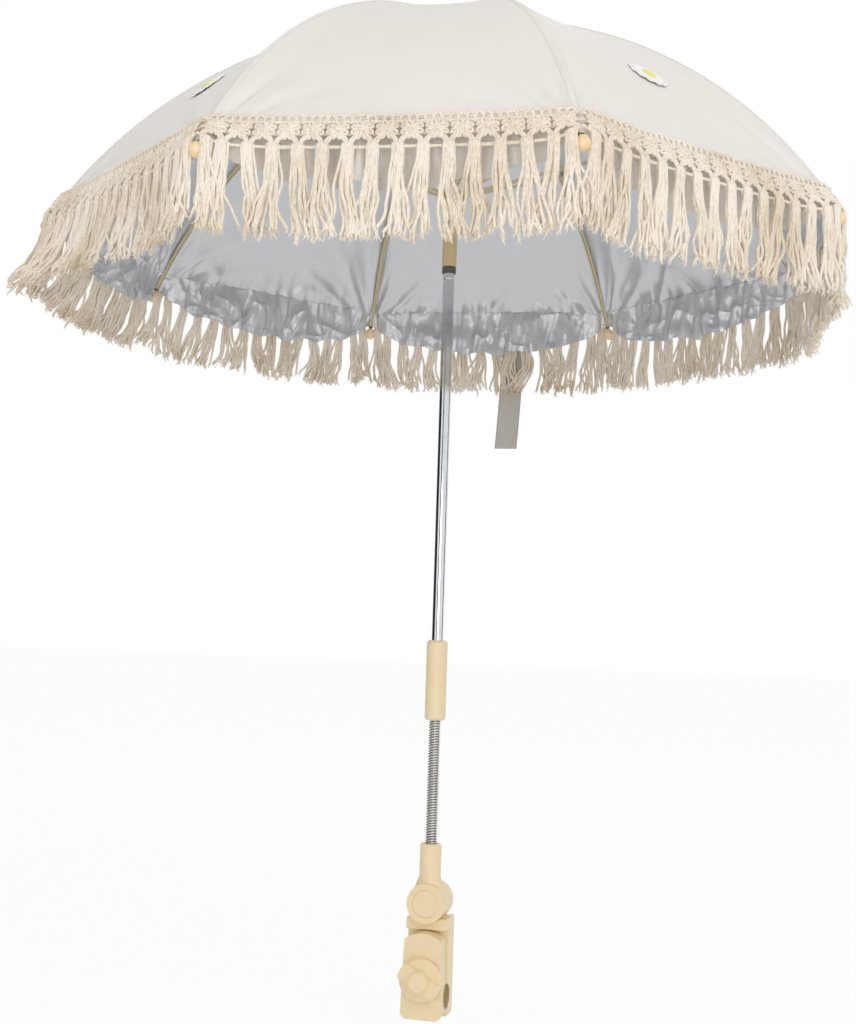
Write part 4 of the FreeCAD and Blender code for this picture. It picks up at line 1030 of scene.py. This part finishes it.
        for loop in (-1, 0, 1):
            start = loop * pitch / 3
            wide = pitch * 0.15
            lean = chance.uniform(-0.5, 0.5) * MM
            top = 0.05 + chance.uniform(-0.02, 0.02)
            cords.add([spot(start - wide, 0.25, 1.0), spot(start - wide * 1.2, 0.14, 2.0),
                       spot(start - wide * 0.7 + lean, top, 2.3), spot(start + wide * 0.7 + lean, top, 2.3),
                       spot(start + wide * 1.2, 0.14, 2.0), spot(start + wide, 0.25, 1.0)], [1.12] * 6)
        petals = 8
        for petal in range(petals):
            turn = 2 * math.pi * (petal + 0.5) / petals + chance.uniform(-0.06, 0.06)
            points = []
            for far, off, lift in ((0.0, 0.0, 2.8), (0.5, -0.3, 3.6), (0.95, -0.2, 2.5), (0.95, 0.2, 2.5),
                                   (0.5, 0.3, 3.6), (0.0, 0.0, 2.8)):
                level = heart - far * 0.29 * math.cos(turn + off)
                points.append(spot(far * 9.2 * MM * math.sin(turn + off), level, lift))
            cords.add(points)
        for wrap in (-1, 1):
            level = heart + wrap * 0.035
            cords.add([spot(-2.6 * MM, level + 0.02, 1.0), spot(-2.0 * MM, level, 5.0),
                       spot(2.0 * MM, level, 5.0), spot(2.6 * MM, level - 0.02, 1.0)])
        for side in HALVES:
            for first, second, third, foot in ((1.4, 4.6, 6.8, 8.0), (3.2, 7.2, 8.6, 9.2)):
                loose = chance.uniform(-0.4, 0.4)
                cords.add([spot(side * first * MM, heart + 0.14, 2.2),
                           spot(side * (second + loose) * MM, 0.74, 2.8),
                           spot(side * (third + loose) * MM, 0.88, 2.6),
                           spot(side * foot * MM, 1.02, 1.4)], [1.05] * 4)

    def hang_tassel(self, cords: Strands, angle: float, middle: float, pitch: float, swing: float,
                    chance: random.Random) -> None:
        """Hang one tassel from the lower carrier, with a looped head and loose, frayed ends.

        Args:
            cords: The piece that it is part of.
            angle: Direction that the side faces.
            middle: The tassel's place along the side.
            pitch: Distance between tassels.
            swing: How far its end stands out.
            chance: Source of its irregularities.
        """
        lean = chance.gauss(0.0, self.loose.lean)
        curl = (chance.gauss(0.0, self.loose.curl), chance.uniform(0.7, 1.1), chance.random())
        stand = chance.gauss(0.0, self.loose.stand) + swing * chance.uniform(0.7, 1.15)
        columns = self.tassel_cords // 2
        for cord in range(self.tassel_cords):
            layer = cord % 2
            share = (cord // 2 + 0.5 * layer) / (columns - 0.5) * 2 - 1
            head = share * 3.5 * MM
            front = (3.2 - 1.9 * layer + 0.9 * (1 - share * share)) * MM
            length = self.tassel + chance.gauss(0.0, self.loose.length)
            foot = share * pitch * 0.5 + lean + chance.gauss(0.0, self.loose.foot)
            if chance.random() < self.loose.stray_share:
                foot += chance.gauss(0.0, self.loose.stray)
            waves = [(chance.gauss(0.0, size), rate, chance.random()) for size, rate in self.loose.waves]
            points = [self.place(angle, middle + head * 0.8, 1.0, 2.5 * MM, -0.4 * MM),
                      self.place(angle, middle + head, 0.88 + 0.05 * share * share, 0.0, front * 0.5),
                      self.place(angle, middle + head * 1.06, 0.93, 0.0, front + 0.9 * MM),
                      self.place(angle, middle + head * 1.08, 1.0, 5.0 * MM, front)]
            sag = (chance.gauss(0.0, self.loose.sag), chance.random())
            for step in (0.16, 0.3, 0.44, 0.58, 0.72, 0.86, 1.0):
                along = middle + head + (foot - head) * step ** 1.4
                along += curl[0] * step * math.sin(2 * math.pi * (curl[1] * step + curl[2]))
                for size, rate, start in waves:
                    along += step * size * math.sin(2 * math.pi * (rate * step + start))
                depth = front * (1 - 0.5 * step) + stand * step ** 1.7
                depth += step * sag[0] * math.sin(2 * math.pi * (1.3 * step + sag[1]))
                rise = swing * 0.3 * step * step
                points.append(self.place(angle, along, 1.0, length * step - rise, depth))
            cords.add(points, [0.95, 1.0, 1.0, 1.0, 1.0, 1.02, 1.04, 1.06, 1.06, 1.08, 1.1])
            for _ in range(self.fibres):
                away = Vector((chance.gauss(0, 1.7), chance.gauss(0, 1.7), -chance.uniform(1.5, 4.5))) * MM
                tip = points[-1] + away
                root = points[-2].lerp(points[-1], 0.9)
                cords.add([root, points[-1].lerp(tip, 0.4), tip], [0.5, 0.42, 0.25])


@dataclass
class ClosingStrap:
    """The strap that ties the folded canopy, hanging at the back.

    Attributes:
        dome: The canopy's shape.
        fringe: The band that the strap is sewn over.
        width: The strap's width.
        thickness: Its thickness.
        drop: How far it hangs below the rib tips.
        shift: Its place along the side, from the middle.
        sway: How far its end hangs to the side.
        clear: Its distance off the band.
        side_rib: The rib before the side that it hangs on.
    """

    dome: Dome
    fringe: Fringe
    width: float = 26 * MM
    thickness: float = 1.2 * MM
    drop: float = 140 * MM
    shift: float = -31 * MM
    sway: float = 7 * MM
    clear: float = 6.4 * MM
    side_rib: int = 4

    def build(self) -> None:
        """Make the strap and hang it over the band."""
        angle = self.dome.rib_angle(self.side_rib) + HALF_PANEL
        band = self.fringe.slope
        hang = self.drop + self.fringe.band_top - self.fringe.sag - self.fringe.band_height
        length = band + hang

        def shape(across: float, along: float) -> Vector:
            down = (1 - along) * length
            place = self.shift + (across - 0.5) * self.width + self.sway * (1 - along) ** 1.5
            curl = 1.2 * MM * math.sin(math.pi * across) + 1.5 * MM * math.sin(3 * (1 - along))
            on_band, below = min(down / band, 1.0), max(down - band, 0.0)
            return self.fringe.place(angle, place, on_band, below, self.clear + curl)

        form = shaped_sheet(8, 60, shape, (self.width, length))
        bmesh.ops.recalc_face_normals(form, faces=form.faces)
        bmesh.ops.solidify(form, geom=form.faces[:], thickness=self.thickness)
        made = new_piece("tie_strap", mesh_from(form), (STRAP_WEBBING,))
        attach(made, f"fringe_wing_{self.side_rib}")
        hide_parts("closure_strap")
        self.width
        self.fringe.draw_in(made, angle, -1)
        LOG.info("closing strap")


@dataclass
class Daisies:
    """Felt daisies sewn on every second panel.

    Attributes:
        canopy: The cloth that carries them.
        radius: Outer radius of the petals.
        petals: Petals on a daisy.
        share: Place along the panel, from the crown to the seam.
        panels: Panels that carry one, by the rib before each.
        heart_size: Radius and half height of the middle.
        heart_lift: Height of the middle's own middle above the cloth.
        felt: Half the thickness of a petal.
        dent: Depth of the crease along a petal.
        stand: Distance of the whole daisy off the cloth.
    """

    canopy: Canopy
    radius: float = 19 * MM
    petals: int = 12
    share: float = 0.735
    panels: tuple[int, ...] = (1, 3, 5, 7)
    heart_size: tuple[float, float] = (6.4 * MM, 1.7 * MM)
    heart_lift: float = 1.4 * MM
    felt: float = 0.45 * MM
    dent: float = 0.15 * MM
    stand: float = 0.6 * MM

    def build(self) -> None:
        """Sew a daisy in the middle of every second panel."""
        for rib in self.panels:
            angle = self.canopy.dome.rib_angle(rib) + HALF_PANEL
            centre = self.canopy.taut_point(rib, 0.999, self.share)
            above = self.canopy.taut_point(rib, 0.999, self.share - 0.05)
            upward = (above - centre).normalized()
            sideways = Vector(tangent(angle))
            normal = sideways.cross(upward).normalized()
            basis = Matrix((sideways, upward, normal)).transposed().to_4x4()
            basis.translation = centre + normal * self.stand
            for name, finish, form in (("daisy_petals", PETAL_FELT, self.petal_ring()),
                                       ("daisy_heart", YELLOW_THREAD, self.heart())):
                bmesh.ops.transform(form, matrix=basis, verts=form.verts)
                made = new_piece(f"{name}_{rib}", mesh_from(form), (finish,))
                attach(made, f"rib_arm_{rib}")
                self.canopy.crumple(made, rib)
                self.canopy.sew_on(self.canopy.gores[rib], made)
            LOG.info("daisy %d", rib)

    def petal_ring(self) -> bmesh.types.BMesh:
        """Make two rings of overlapping petals, each a pinched oval with a crease."""
        form = bmesh.new()
        for ring, (size, level) in enumerate(((1.0, 0.5 * MM), (0.82, 1.0 * MM))):
            for petal in range(self.petals):
                made = bmesh.ops.create_uvsphere(form, u_segments=10, v_segments=6, radius=1.0)["verts"]
                width = 2 * math.pi * self.radius / self.petals * 0.62
                for vert in made:
                    dent = self.dent * (1 - min(abs(vert.co.x) * 2.4, 1.0))
                    lift = self.felt * vert.co.z - dent
                    reach = self.radius * size * (0.6 + 0.4 * vert.co.y)
                    vert.co = Vector((vert.co.x * width * (0.72 + 0.28 * vert.co.y), reach, lift + level))
                turn = Matrix.Rotation(2 * math.pi * (petal + 0.5 * ring) / self.petals, 4, "Z")
                bmesh.ops.transform(form, matrix=turn, verts=made)
        bmesh.ops.recalc_face_normals(form, faces=form.faces)
        return form

    def heart(self) -> bmesh.types.BMesh:
        """Make the domed middle."""
        form = bmesh.new()
        radius, height = self.heart_size
        bmesh.ops.create_icosphere(form, subdivisions=3, radius=1.0)
        for vert in form.verts:
            knobble = 1 + 0.05 * math.sin(40 * vert.co.x) * math.sin(40 * vert.co.y)
            dome = Vector((vert.co.x * radius, vert.co.y * radius, max(vert.co.z, -0.3) * height)) * knobble
            vert.co = dome + UP * self.heart_lift
        bmesh.ops.recalc_face_normals(form, faces=form.faces)
        return form


@dataclass
class Stitching:
    """Rows of stitches along the ribs' seams, the gathered seam and the ruffle's hem.

    Attributes:
        canopy: The cloth that is sewn.
        stitch: Length of a stitch.
        space: Distance from one stitch to the next.
        thread: Diameter of the thread.
        off_rib: Distance of a felled seam's rows from the rib's middle.
        proud: Height of the stitches on the cloth, outside and inside.
        levels: Place of the ruffle's rows, from the seam to the hem.
    """

    canopy: Canopy
    stitch: float = 3.0 * MM
    space: float = 4.6 * MM
    thread: float = 0.5 * MM
    off_rib: float = 3.4 * MM
    proud: tuple[float, float] = (0.15 * MM, 0.12 * MM)
    levels: tuple[float, ...] = (0.03, 0.84)

    def build(self) -> None:
        """Sew the rows of every rib."""
        for rib in RIBS:
            seam = Strands(f"seam_stitches_{rib}", self.thread, 0)
            self.rib_seam(seam, rib)
            rows = self.finish(seam, SEAM_THREAD, f"rib_arm_{rib}")
            self.canopy.crumple(rows, rib)
            self.canopy.sew_on(self.canopy.gores[rib], rows)
            for half in HALVES:
                cloth = self.canopy.ruffles[rib, half]
                hem = Strands(f"hem_stitches_{cloth.name}", self.thread, 0)
                for down in self.levels:
                    self.ruffle_row(hem, rib, half, down)
                rows = self.finish(hem, HEM_THREAD, f"fringe_wing_{rib}")
                self.canopy.bunch(rows, rib, half)
                self.canopy.sew_on(cloth, rows)
        LOG.info("stitching")

    def finish(self, row: Strands, finish: Finish, body: str) -> bpy.types.Object:
        """Turn rows of stitches into a piece that moves with its cloth.

        Args:
            row: The stitches.
            finish: The thread's material.
            body: The body that carries the cloth.

        Returns:
            The new piece.
        """
        row.curve.resolution_u = 1
        made = new_piece(row.curve.name, row.mesh(), (finish,))
        attach(made, body)
        return made

    @staticmethod
    def sew(row: Strands, ends: list[Vector]) -> None:
        """Add one stitch between two points."""
        row.add([ends[0], ends[0].lerp(ends[1], 0.5), ends[1]])

    def rib_seam(self, row: Strands, rib: int) -> None:
        """Sew both sides of the felled seam over a rib."""
        length = self.canopy.length
        for side in HALVES:
            for stitch in range(3, int(length / self.space) - 1):
                points = []
                for end in (0.0, self.stitch):
                    along = (stitch * self.space + end) / length
                    span = self.canopy.dome.along_rib(along)[0] * math.sin(HALF_PANEL)
                    across = 0.5 + side * min(self.off_rib / span, 0.9) / 2
                    points.append(self.canopy.taut_point(rib, across, along) + UP * self.proud[0])
                self.sew(row, points)

    def ruffle_row(self, row: Strands, rib: int, half: int, down: float) -> None:
        """Sew one level row on the inside of half a ruffle."""
        count = int(self.canopy.half_width / self.space)
        lift = -(self.canopy.thickness + self.proud[1])
        for stitch in range(count):
            points = []
            for end in (0.0, self.stitch / self.space):
                spot = self.canopy.half_point(rib, half, (stitch + end) / count, down)
                away = Vector((spot.x, spot.y, 0.0)).normalized()
                points.append(spot + away * lift)
            self.sew(row, points)


@dataclass
class RibTrim:
    """Turned beads on the rib tips, thread ties behind them and rivet heads at the elbows.

    Attributes:
        dome: The canopy's shape.
        bead_radius: Radius of a bead.
        bead_length: Its length.
        bead_back: How far it reaches back over the rib's tip.
        elbow: Distance from the pole, and height, of the elbows.
        rivet: Radius of a rivet's head.
        rivet_height: Its height.
        rivet_out: Distance of a rivet's head from the rib's middle plane.
        thread: Diameter of the thread of the ties.
        tie_radius: Radius of their turns.
    """

    dome: Dome
    bead_radius: float = 5.7 * MM
    bead_length: float = 13.2 * MM
    bead_back: float = 0.3 * MM
    elbow: tuple[float, float] = (233.34 * MM, 830.4 * MM)
    rivet: float = 1.5 * MM
    rivet_height: float = 0.7 * MM
    rivet_out: float = 2.5 * MM
    thread: float = 0.5 * MM
    tie_radius: float = 2.25 * MM

    def build(self) -> None:
        """Trim every rib."""
        for rib in RIBS:
            basis = self.tip_frame(rib)
            bead = self.bead()
            bmesh.ops.transform(bead, matrix=basis, verts=bead.verts)
            made = new_piece(f"turned_bead_{rib}", mesh_from(bead), (TURNED_BEECH,))
            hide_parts(f"rib_tip_{rib}")
            attach(made, f"rib_arm_{rib}")
            self.tie(rib, basis)
            self.rivets(rib)
        LOG.info("rib trim")

    def tip_frame(self, rib: int) -> Matrix:
        """Place and direction of a rib's tip, with Z along the rib."""
        angle = self.dome.rib_angle(rib)
        slope = self.dome.tip_angle
        out, up = self.dome.off_arc(slope, -self.dome.rib_depth)
        along = around(math.cos(slope), angle, -math.sin(slope))
        sideways = Vector(tangent(angle))
        basis = Matrix((sideways, along.cross(sideways), along)).transposed().to_4x4()
        basis.translation = around(out, angle, up)
        return basis

    def bead(self) -> bmesh.types.BMesh:
        """Turn an egg-shaped bead with a small flat at its end."""
        levels = 14
        profile = []
        for level in range(levels + 1):
            turn = math.pi * level / levels
            narrow = 1 - 0.1 * math.cos(turn)
            radius = self.bead_radius * math.sin(turn) ** 0.85 * narrow if 0 < level < levels else 0.0
            profile.append((radius, self.bead_length * (1 - math.cos(turn)) / 2 - self.bead_back))
        return turned_form(profile, 24)

    def tie(self, rib: int, basis: Matrix) -> None:
        """Wind a few turns of black thread round the rib just behind the bead."""
        thread = Strands(f"tip_tie_{rib}", self.thread, 0)
        turns, steps = 4, 10
        thread.add([basis @ around(self.tie_radius, 2 * math.pi * step / steps, -(1.0 + step * 0.06) * MM)
                    for step in range(turns * steps + 1)])
        made = new_piece(f"tip_tie_{rib}", thread.mesh(), (TIE_THREAD,))
        attach(made, f"rib_arm_{rib}")

    def rivets(self, rib: int) -> None:
        """Put a domed head on both ends of the elbow's rivet."""
        angle = self.dome.rib_angle(rib)
        form = bmesh.new()
        for side in HALVES:
            made = bmesh.ops.create_uvsphere(form, u_segments=12, v_segments=6, radius=1.0)["verts"]
            for vert in made:
                outward = side * self.rivet_out + vert.co.z * self.rivet_height
                vert.co = Vector((vert.co.x * self.rivet, outward, vert.co.y * self.rivet))
        turn = Matrix.Rotation(angle, 4, "Z")
        spot = Matrix.Translation(around(self.elbow[0], angle, self.elbow[1]))
        bmesh.ops.transform(form, matrix=spot @ turn, verts=form.verts)
        bmesh.ops.recalc_face_normals(form, faces=form.faces)
        made = new_piece(f"elbow_rivets_{rib}", mesh_from(form), (SPRING_WIRE,))
        attach(made, f"rib_arm_{rib}")


@dataclass
class RunnerTrim:
    """The runner's finely ribbed sleeve and the dark ring under it.

    Attributes:
        low: Height of the runner's lower end.
        high: Height of its shoulder.
        crest: Radius of the runner's plain wall.
        ridge: Height of the fine ribs.
        pitch: Distance between them.
        bore: Radius of the hole for the pole.
        ring_radius: Radius of the ring under the runner.
        ring_drop: Depth of the ring's lower and upper ends below the runner.
        ring_edge: Height of the bevels on its edges.
    """

    low: float = 678.2 * MM
    high: float = 738.6 * MM
    crest: float = 6.6 * MM
    ridge: float = 0.35 * MM
    pitch: float = 1.9 * MM
    bore: float = 5.75 * MM
    ring_radius: float = 6.6 * MM
    ring_drop: tuple[float, float] = (7 * MM, 0.6 * MM)
    ring_edge: float = 0.4 * MM

    def build(self) -> None:
        """Turn both pieces and let them slide with the runner."""
        inner, valley, peak = self.crest - 0.3 * MM, self.crest + 0.05 * MM, self.crest + self.ridge
        count = int((self.high - self.low) / self.pitch)
        bottom, top = self.low - 0.2 * MM, self.low + count * self.pitch
        profile = [(inner, bottom)]
        for ridge in range(count):
            start = bottom + ridge * self.pitch
            profile += [(valley, start), (peak, start + 0.3 * self.pitch), (peak, start + 0.7 * self.pitch)]
        profile += [(valley, top), (inner, top), (inner, bottom)]
        sleeve = new_piece("runner_sleeve", mesh_from(turned_form(profile, 32)), (SHADED_CREAM_NYLON,))
        ring_low, ring_high = [self.low - drop for drop in self.ring_drop]
        outline = [(self.bore, ring_low), (self.ring_radius - 0.3 * MM, ring_low),
                   (self.ring_radius, ring_low + self.ring_edge),
                   (self.ring_radius, ring_high - self.ring_edge),
                   (self.ring_radius - 0.2 * MM, ring_high), (self.bore, ring_high), (self.bore, ring_low)]
        ring = new_piece("runner_ring", mesh_from(turned_form(outline, 32)), (DARK_NYLON,), smooth=False)
        for piece in (sleeve, ring):
            attach(piece, "slider")
        LOG.info("runner trim")


@dataclass
class Gooseneck:
    """The wound wire between arm and grip, and the core inside it.

    Attributes:
        low: Height of the arm's socket.
        high: Height of the grip's lower end.
        sunk: How deep the ends sit in their sockets.
        radius: Radius of the coil's middle line.
        wire: Diameter of the wire.
        pitch: Rise of one turn.
        turn_steps: Points on one turn.
        core: Radius of the core.
    """

    low: float = 137 * MM
    high: float = 250 * MM
    sunk: float = 6 * MM
    radius: float = 4.65 * MM
    wire: float = 2.05 * MM
    pitch: float = 2.4 * MM
    turn_steps: int = 14
    core: float = 3.4 * MM

    def build(self) -> None:
        """Wind the wire and make the core between arm and grip."""
        coil = Strands("gooseneck_winding", self.wire, 2)
        coil.curve.resolution_u = 1
        bottom = self.low - self.sunk
        height = self.high - self.low + 2 * self.sunk
        turns = height / self.pitch
        steps = int(turns * self.turn_steps)
        points = []
        for step in range(steps + 1):
            turned = turns * step / steps
            points.append(around(self.radius, 2 * math.pi * turned, bottom + self.pitch * turned))
        coil.add(points)
        winding = new_piece("gooseneck_winding", coil.mesh(), (SPRING_WIRE,))
        levels = 40
        profile = [(0.0, bottom)]
        profile += [(self.core, bottom + height * level / levels) for level in range(levels + 1)]
        profile += [(0.0, bottom + height)]
        core = new_piece("gooseneck_rod", mesh_from(turned_form(profile, 20)), (SPRING_WIRE,))
        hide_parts("gooseneck_coil")
        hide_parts("gooseneck_core")
        for piece in (winding, core):
            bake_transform(piece)
        LOG.info("gooseneck")


class Hardware:
    """Finishes for the rigid pieces that keep their CAD shape."""

    PREFIXES: dict[Finish, tuple[str, ...]] = {
        SPRING_WIRE: ("clamp_nut", "clamp_screw", "knob_washer", "pivot", "crown_wire", "runner_wire"),
        CREAM_PLASTIC: ("clamp", "front_jaw", "knob_cap", "swivel_arm", "pivot_cap", "grip_sleeve",
                        "crown_hub", "top_cap"),
        JAW_RUBBER: ("front_jaw_pad", "rear_jaw_pad"),
        CHROME_PLATE: ("pole_tube",),
        SHADED_CREAM_NYLON: ("runner",),
        TURNED_BEECH: ("rib_tip",),
        KHAKI_ENAMEL: ("rib", "stretcher"),
    }

    def dress(self) -> None:
        """Give every shown CAD node the finish of the longest prefix that fits its name."""
        finishes = {prefix: finish for finish, prefixes in self.PREFIXES.items() for prefix in prefixes}
        for name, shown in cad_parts.items():
            fits = [prefix for prefix in finishes if name.startswith(prefix)]
            if not fits:
                continue
            finish = finishes[max(fits, key=len)]
            shown.data.materials.clear()
            shown.data.materials.append(finish.material())
            LOG.info("finish on %s", name)


@dataclass(frozen=True)
class Studio:
    """Floor, light and the camera of the photograph.

    Attributes:
        distance: The camera's distance from the pole.
        azimuth: Its direction from the front, in degrees towards +X.
        height: Its height above the clamp's mouth.
        aim_left: Degrees that it looks to the left of the pole.
        pitch: Degrees that it looks up.
        roll: Degrees that it is tipped.
        lens: Focal length for a 36 mm sensor.
        floor_drop: The floor's depth below the clamp's mouth.
        sky_light: Strength of the even light from all round.
        floor_glow: Share of the floor's white that shows however it is lit.
    """

    distance: float = 1.3796
    azimuth: float = 14.1
    height: float = 0.3393
    aim_left: float = 0.524
    pitch: float = 4.328
    roll: float = 1.837
    lens: float = 51.75
    floor_drop: float = 0.030
    sky_light: float = 0.66
    floor_glow: float = 0.94

    def build(self) -> None:
        """Make the camera, the lamps, the world and the floor."""
        self.camera()
        self.lamps()
        self.floor()
        self.cards()
        bpy.context.scene.view_settings.view_transform = "Standard"

    def camera(self) -> None:
        """Stand the camera where the photograph was taken."""
        turn = math.radians(self.azimuth)
        made = bpy.data.objects.new("camera", bpy.data.cameras.new("camera"))
        bpy.context.scene.collection.objects.link(made)
        made.data.lens = self.lens
        made.data.sensor_width = 36.0
        made.data.clip_start = 0.05
        spot = Vector((self.distance * math.sin(turn), -self.distance * math.cos(turn), self.height))
        heading = Matrix.Rotation(math.radians(self.aim_left), 3, "Z") @ Vector(tangent(turn))
        level_right = heading.cross(UP)
        pitch = math.radians(self.pitch)
        forward = heading * math.cos(pitch) + UP * math.sin(pitch)
        level_up = level_right.cross(forward)
        roll = math.radians(self.roll)
        right = level_right * math.cos(roll) + level_up * math.sin(roll)
        upward = level_up * math.cos(roll) - level_right * math.sin(roll)
        made.matrix_world = Matrix.Translation(spot) @ Matrix((right, upward, -forward)).transposed().to_4x4()
        bpy.context.scene.camera = made

    def lamps(self) -> None:
        """Hang four soft lamps and set an even world light."""
        for name, spot, aim, size, power in (
                ("key", (2.0, -1.9, 2.4), (0.0, 0.0, 0.6), 2.0, 22.0),
                ("fill", (-2.2, -1.6, 1.4), (0.0, 0.0, 0.6), 2.0, 3.0),
                ("back", (0.6, 2.4, 2.2), (0.0, 0.0, 0.6), 1.6, 6.0),
                ("bounce", (0.3, -1.7, 0.1), (0.0, 0.0, 0.8), 1.2, 9.0)):
            lamp = bpy.data.objects.new(name, bpy.data.lights.new(name, "AREA"))
            lamp.data.energy = power
            lamp.data.size = size
            lamp.location = spot
            lamp.rotation_mode = "QUATERNION"
            lamp.rotation_quaternion = (Vector(aim) - Vector(spot)).to_track_quat("-Z", "Y")
            bpy.context.scene.collection.objects.link(lamp)
        world = bpy.data.worlds.new("studio")
        bpy.context.scene.world = world
        world.use_nodes = True
        tree = world.node_tree
        sky = tree.nodes["Background"]
        level = add_node(tree, "ShaderNodeMapRange", {}, {
            "Value": self.seen_ray(tree), "To Min": self.sky_light, "To Max": 1.0})
        sky.inputs["Color"].default_value = (1.0, 1.0, 1.0, 1.0)
        tree.links.new(level.outputs[0], sky.inputs["Strength"])

    def seen_ray(self, tree: bpy.types.NodeTree) -> bpy.types.NodeSocket:
        """Tell rays that show the studio itself from rays that light the part."""
        ray = add_node(tree, "ShaderNodeLightPath", {}, {})
        seen = maths(tree, "MAXIMUM", ray.outputs["Is Camera Ray"], ray.outputs["Is Glossy Ray"])
        return maths(tree, "MAXIMUM", seen, ray.outputs["Is Transmission Ray"])

    @staticmethod
    def paint(name: str, colour: str, roughness: float) -> bpy.types.Material:
        """Make a plain material for the studio's own things."""
        made, shader = new_material(name)
        shader.inputs["Base Color"].default_value = linear_colour(colour)
        shader.inputs["Roughness"].default_value = roughness
        return made

    def floor(self) -> None:
        """Lay a white floor under the clamp that keeps a faint shadow."""
        form = bmesh.new()
        bmesh.ops.create_grid(form, x_segments=1, y_segments=1, size=12.0)
        bmesh.ops.translate(form, vec=(0.0, 0.0, -self.floor_drop), verts=form.verts)
        made = new_piece("floor", mesh_from(form), ())
        paint = self.paint("white floor paint", "#F4F4F4", 0.9)
        tree = paint.node_tree
        shader = tree.nodes["Principled BSDF"]
        glow = add_node(tree, "ShaderNodeEmission", {}, {"Strength": 1.0})
        share = maths(tree, "MULTIPLY", self.seen_ray(tree), self.floor_glow)
        blend = add_node(tree, "ShaderNodeMixShader", {}, {
            0: share, 1: shader.outputs[0], 2: glow.outputs[0]})
        tree.links.new(blend.outputs[0], tree.nodes["Material Output"].inputs["Surface"])
        made.data.materials.append(paint)

    def cards(self) -> None:
        """Stand dark cards beside the part that only its polished metal mirrors."""
        felt = self.paint("black card", "#2C2C2E", 1.0)
        for name, spot, wide, tall in (
                ("left card", (-1.3, -0.16, 0.5), 1.9, 1.6),
                ("right card", (1.12, 0.43, 0.5), 0.36, 1.6),
                ("front card", (-0.2, -1.75, 0.5), 0.5, 1.6)):
            form = bmesh.new()
            bmesh.ops.create_grid(form, x_segments=1, y_segments=1, size=0.5)
            bmesh.ops.scale(form, vec=(wide, tall, 1.0), verts=form.verts)
            facing = Vector((-spot[0], -spot[1], 0.0)).to_track_quat("Z", "Y").to_matrix().to_4x4()
            bmesh.ops.transform(form, matrix=Matrix.Translation(spot) @ facing, verts=form.verts)
            made = new_piece(name, mesh_from(form), ())
            made.data.materials.append(felt)
            for ray in ("camera", "diffuse", "transmission", "shadow"):
                setattr(made, f"visible_{ray}", False)


def main() -> None:
    """Build every sub-assembly in order."""
    logging.basicConfig(level=logging.INFO, format="%(name)s: %(message)s")
    Studio().build()
    dome = Dome()
    Hardware().dress()
    Gooseneck().build()
    canopy = Canopy(dome)
    canopy.build()
    fringe = Fringe(dome, canopy)
    fringe.build()
    ClosingStrap(dome, fringe).build()
    Daisies(canopy).build()
    Stitching(canopy).build()
    canopy.declare()
    RibTrim(dome).build()
    RunnerTrim().build()


if __name__ == "__main__":
    main()
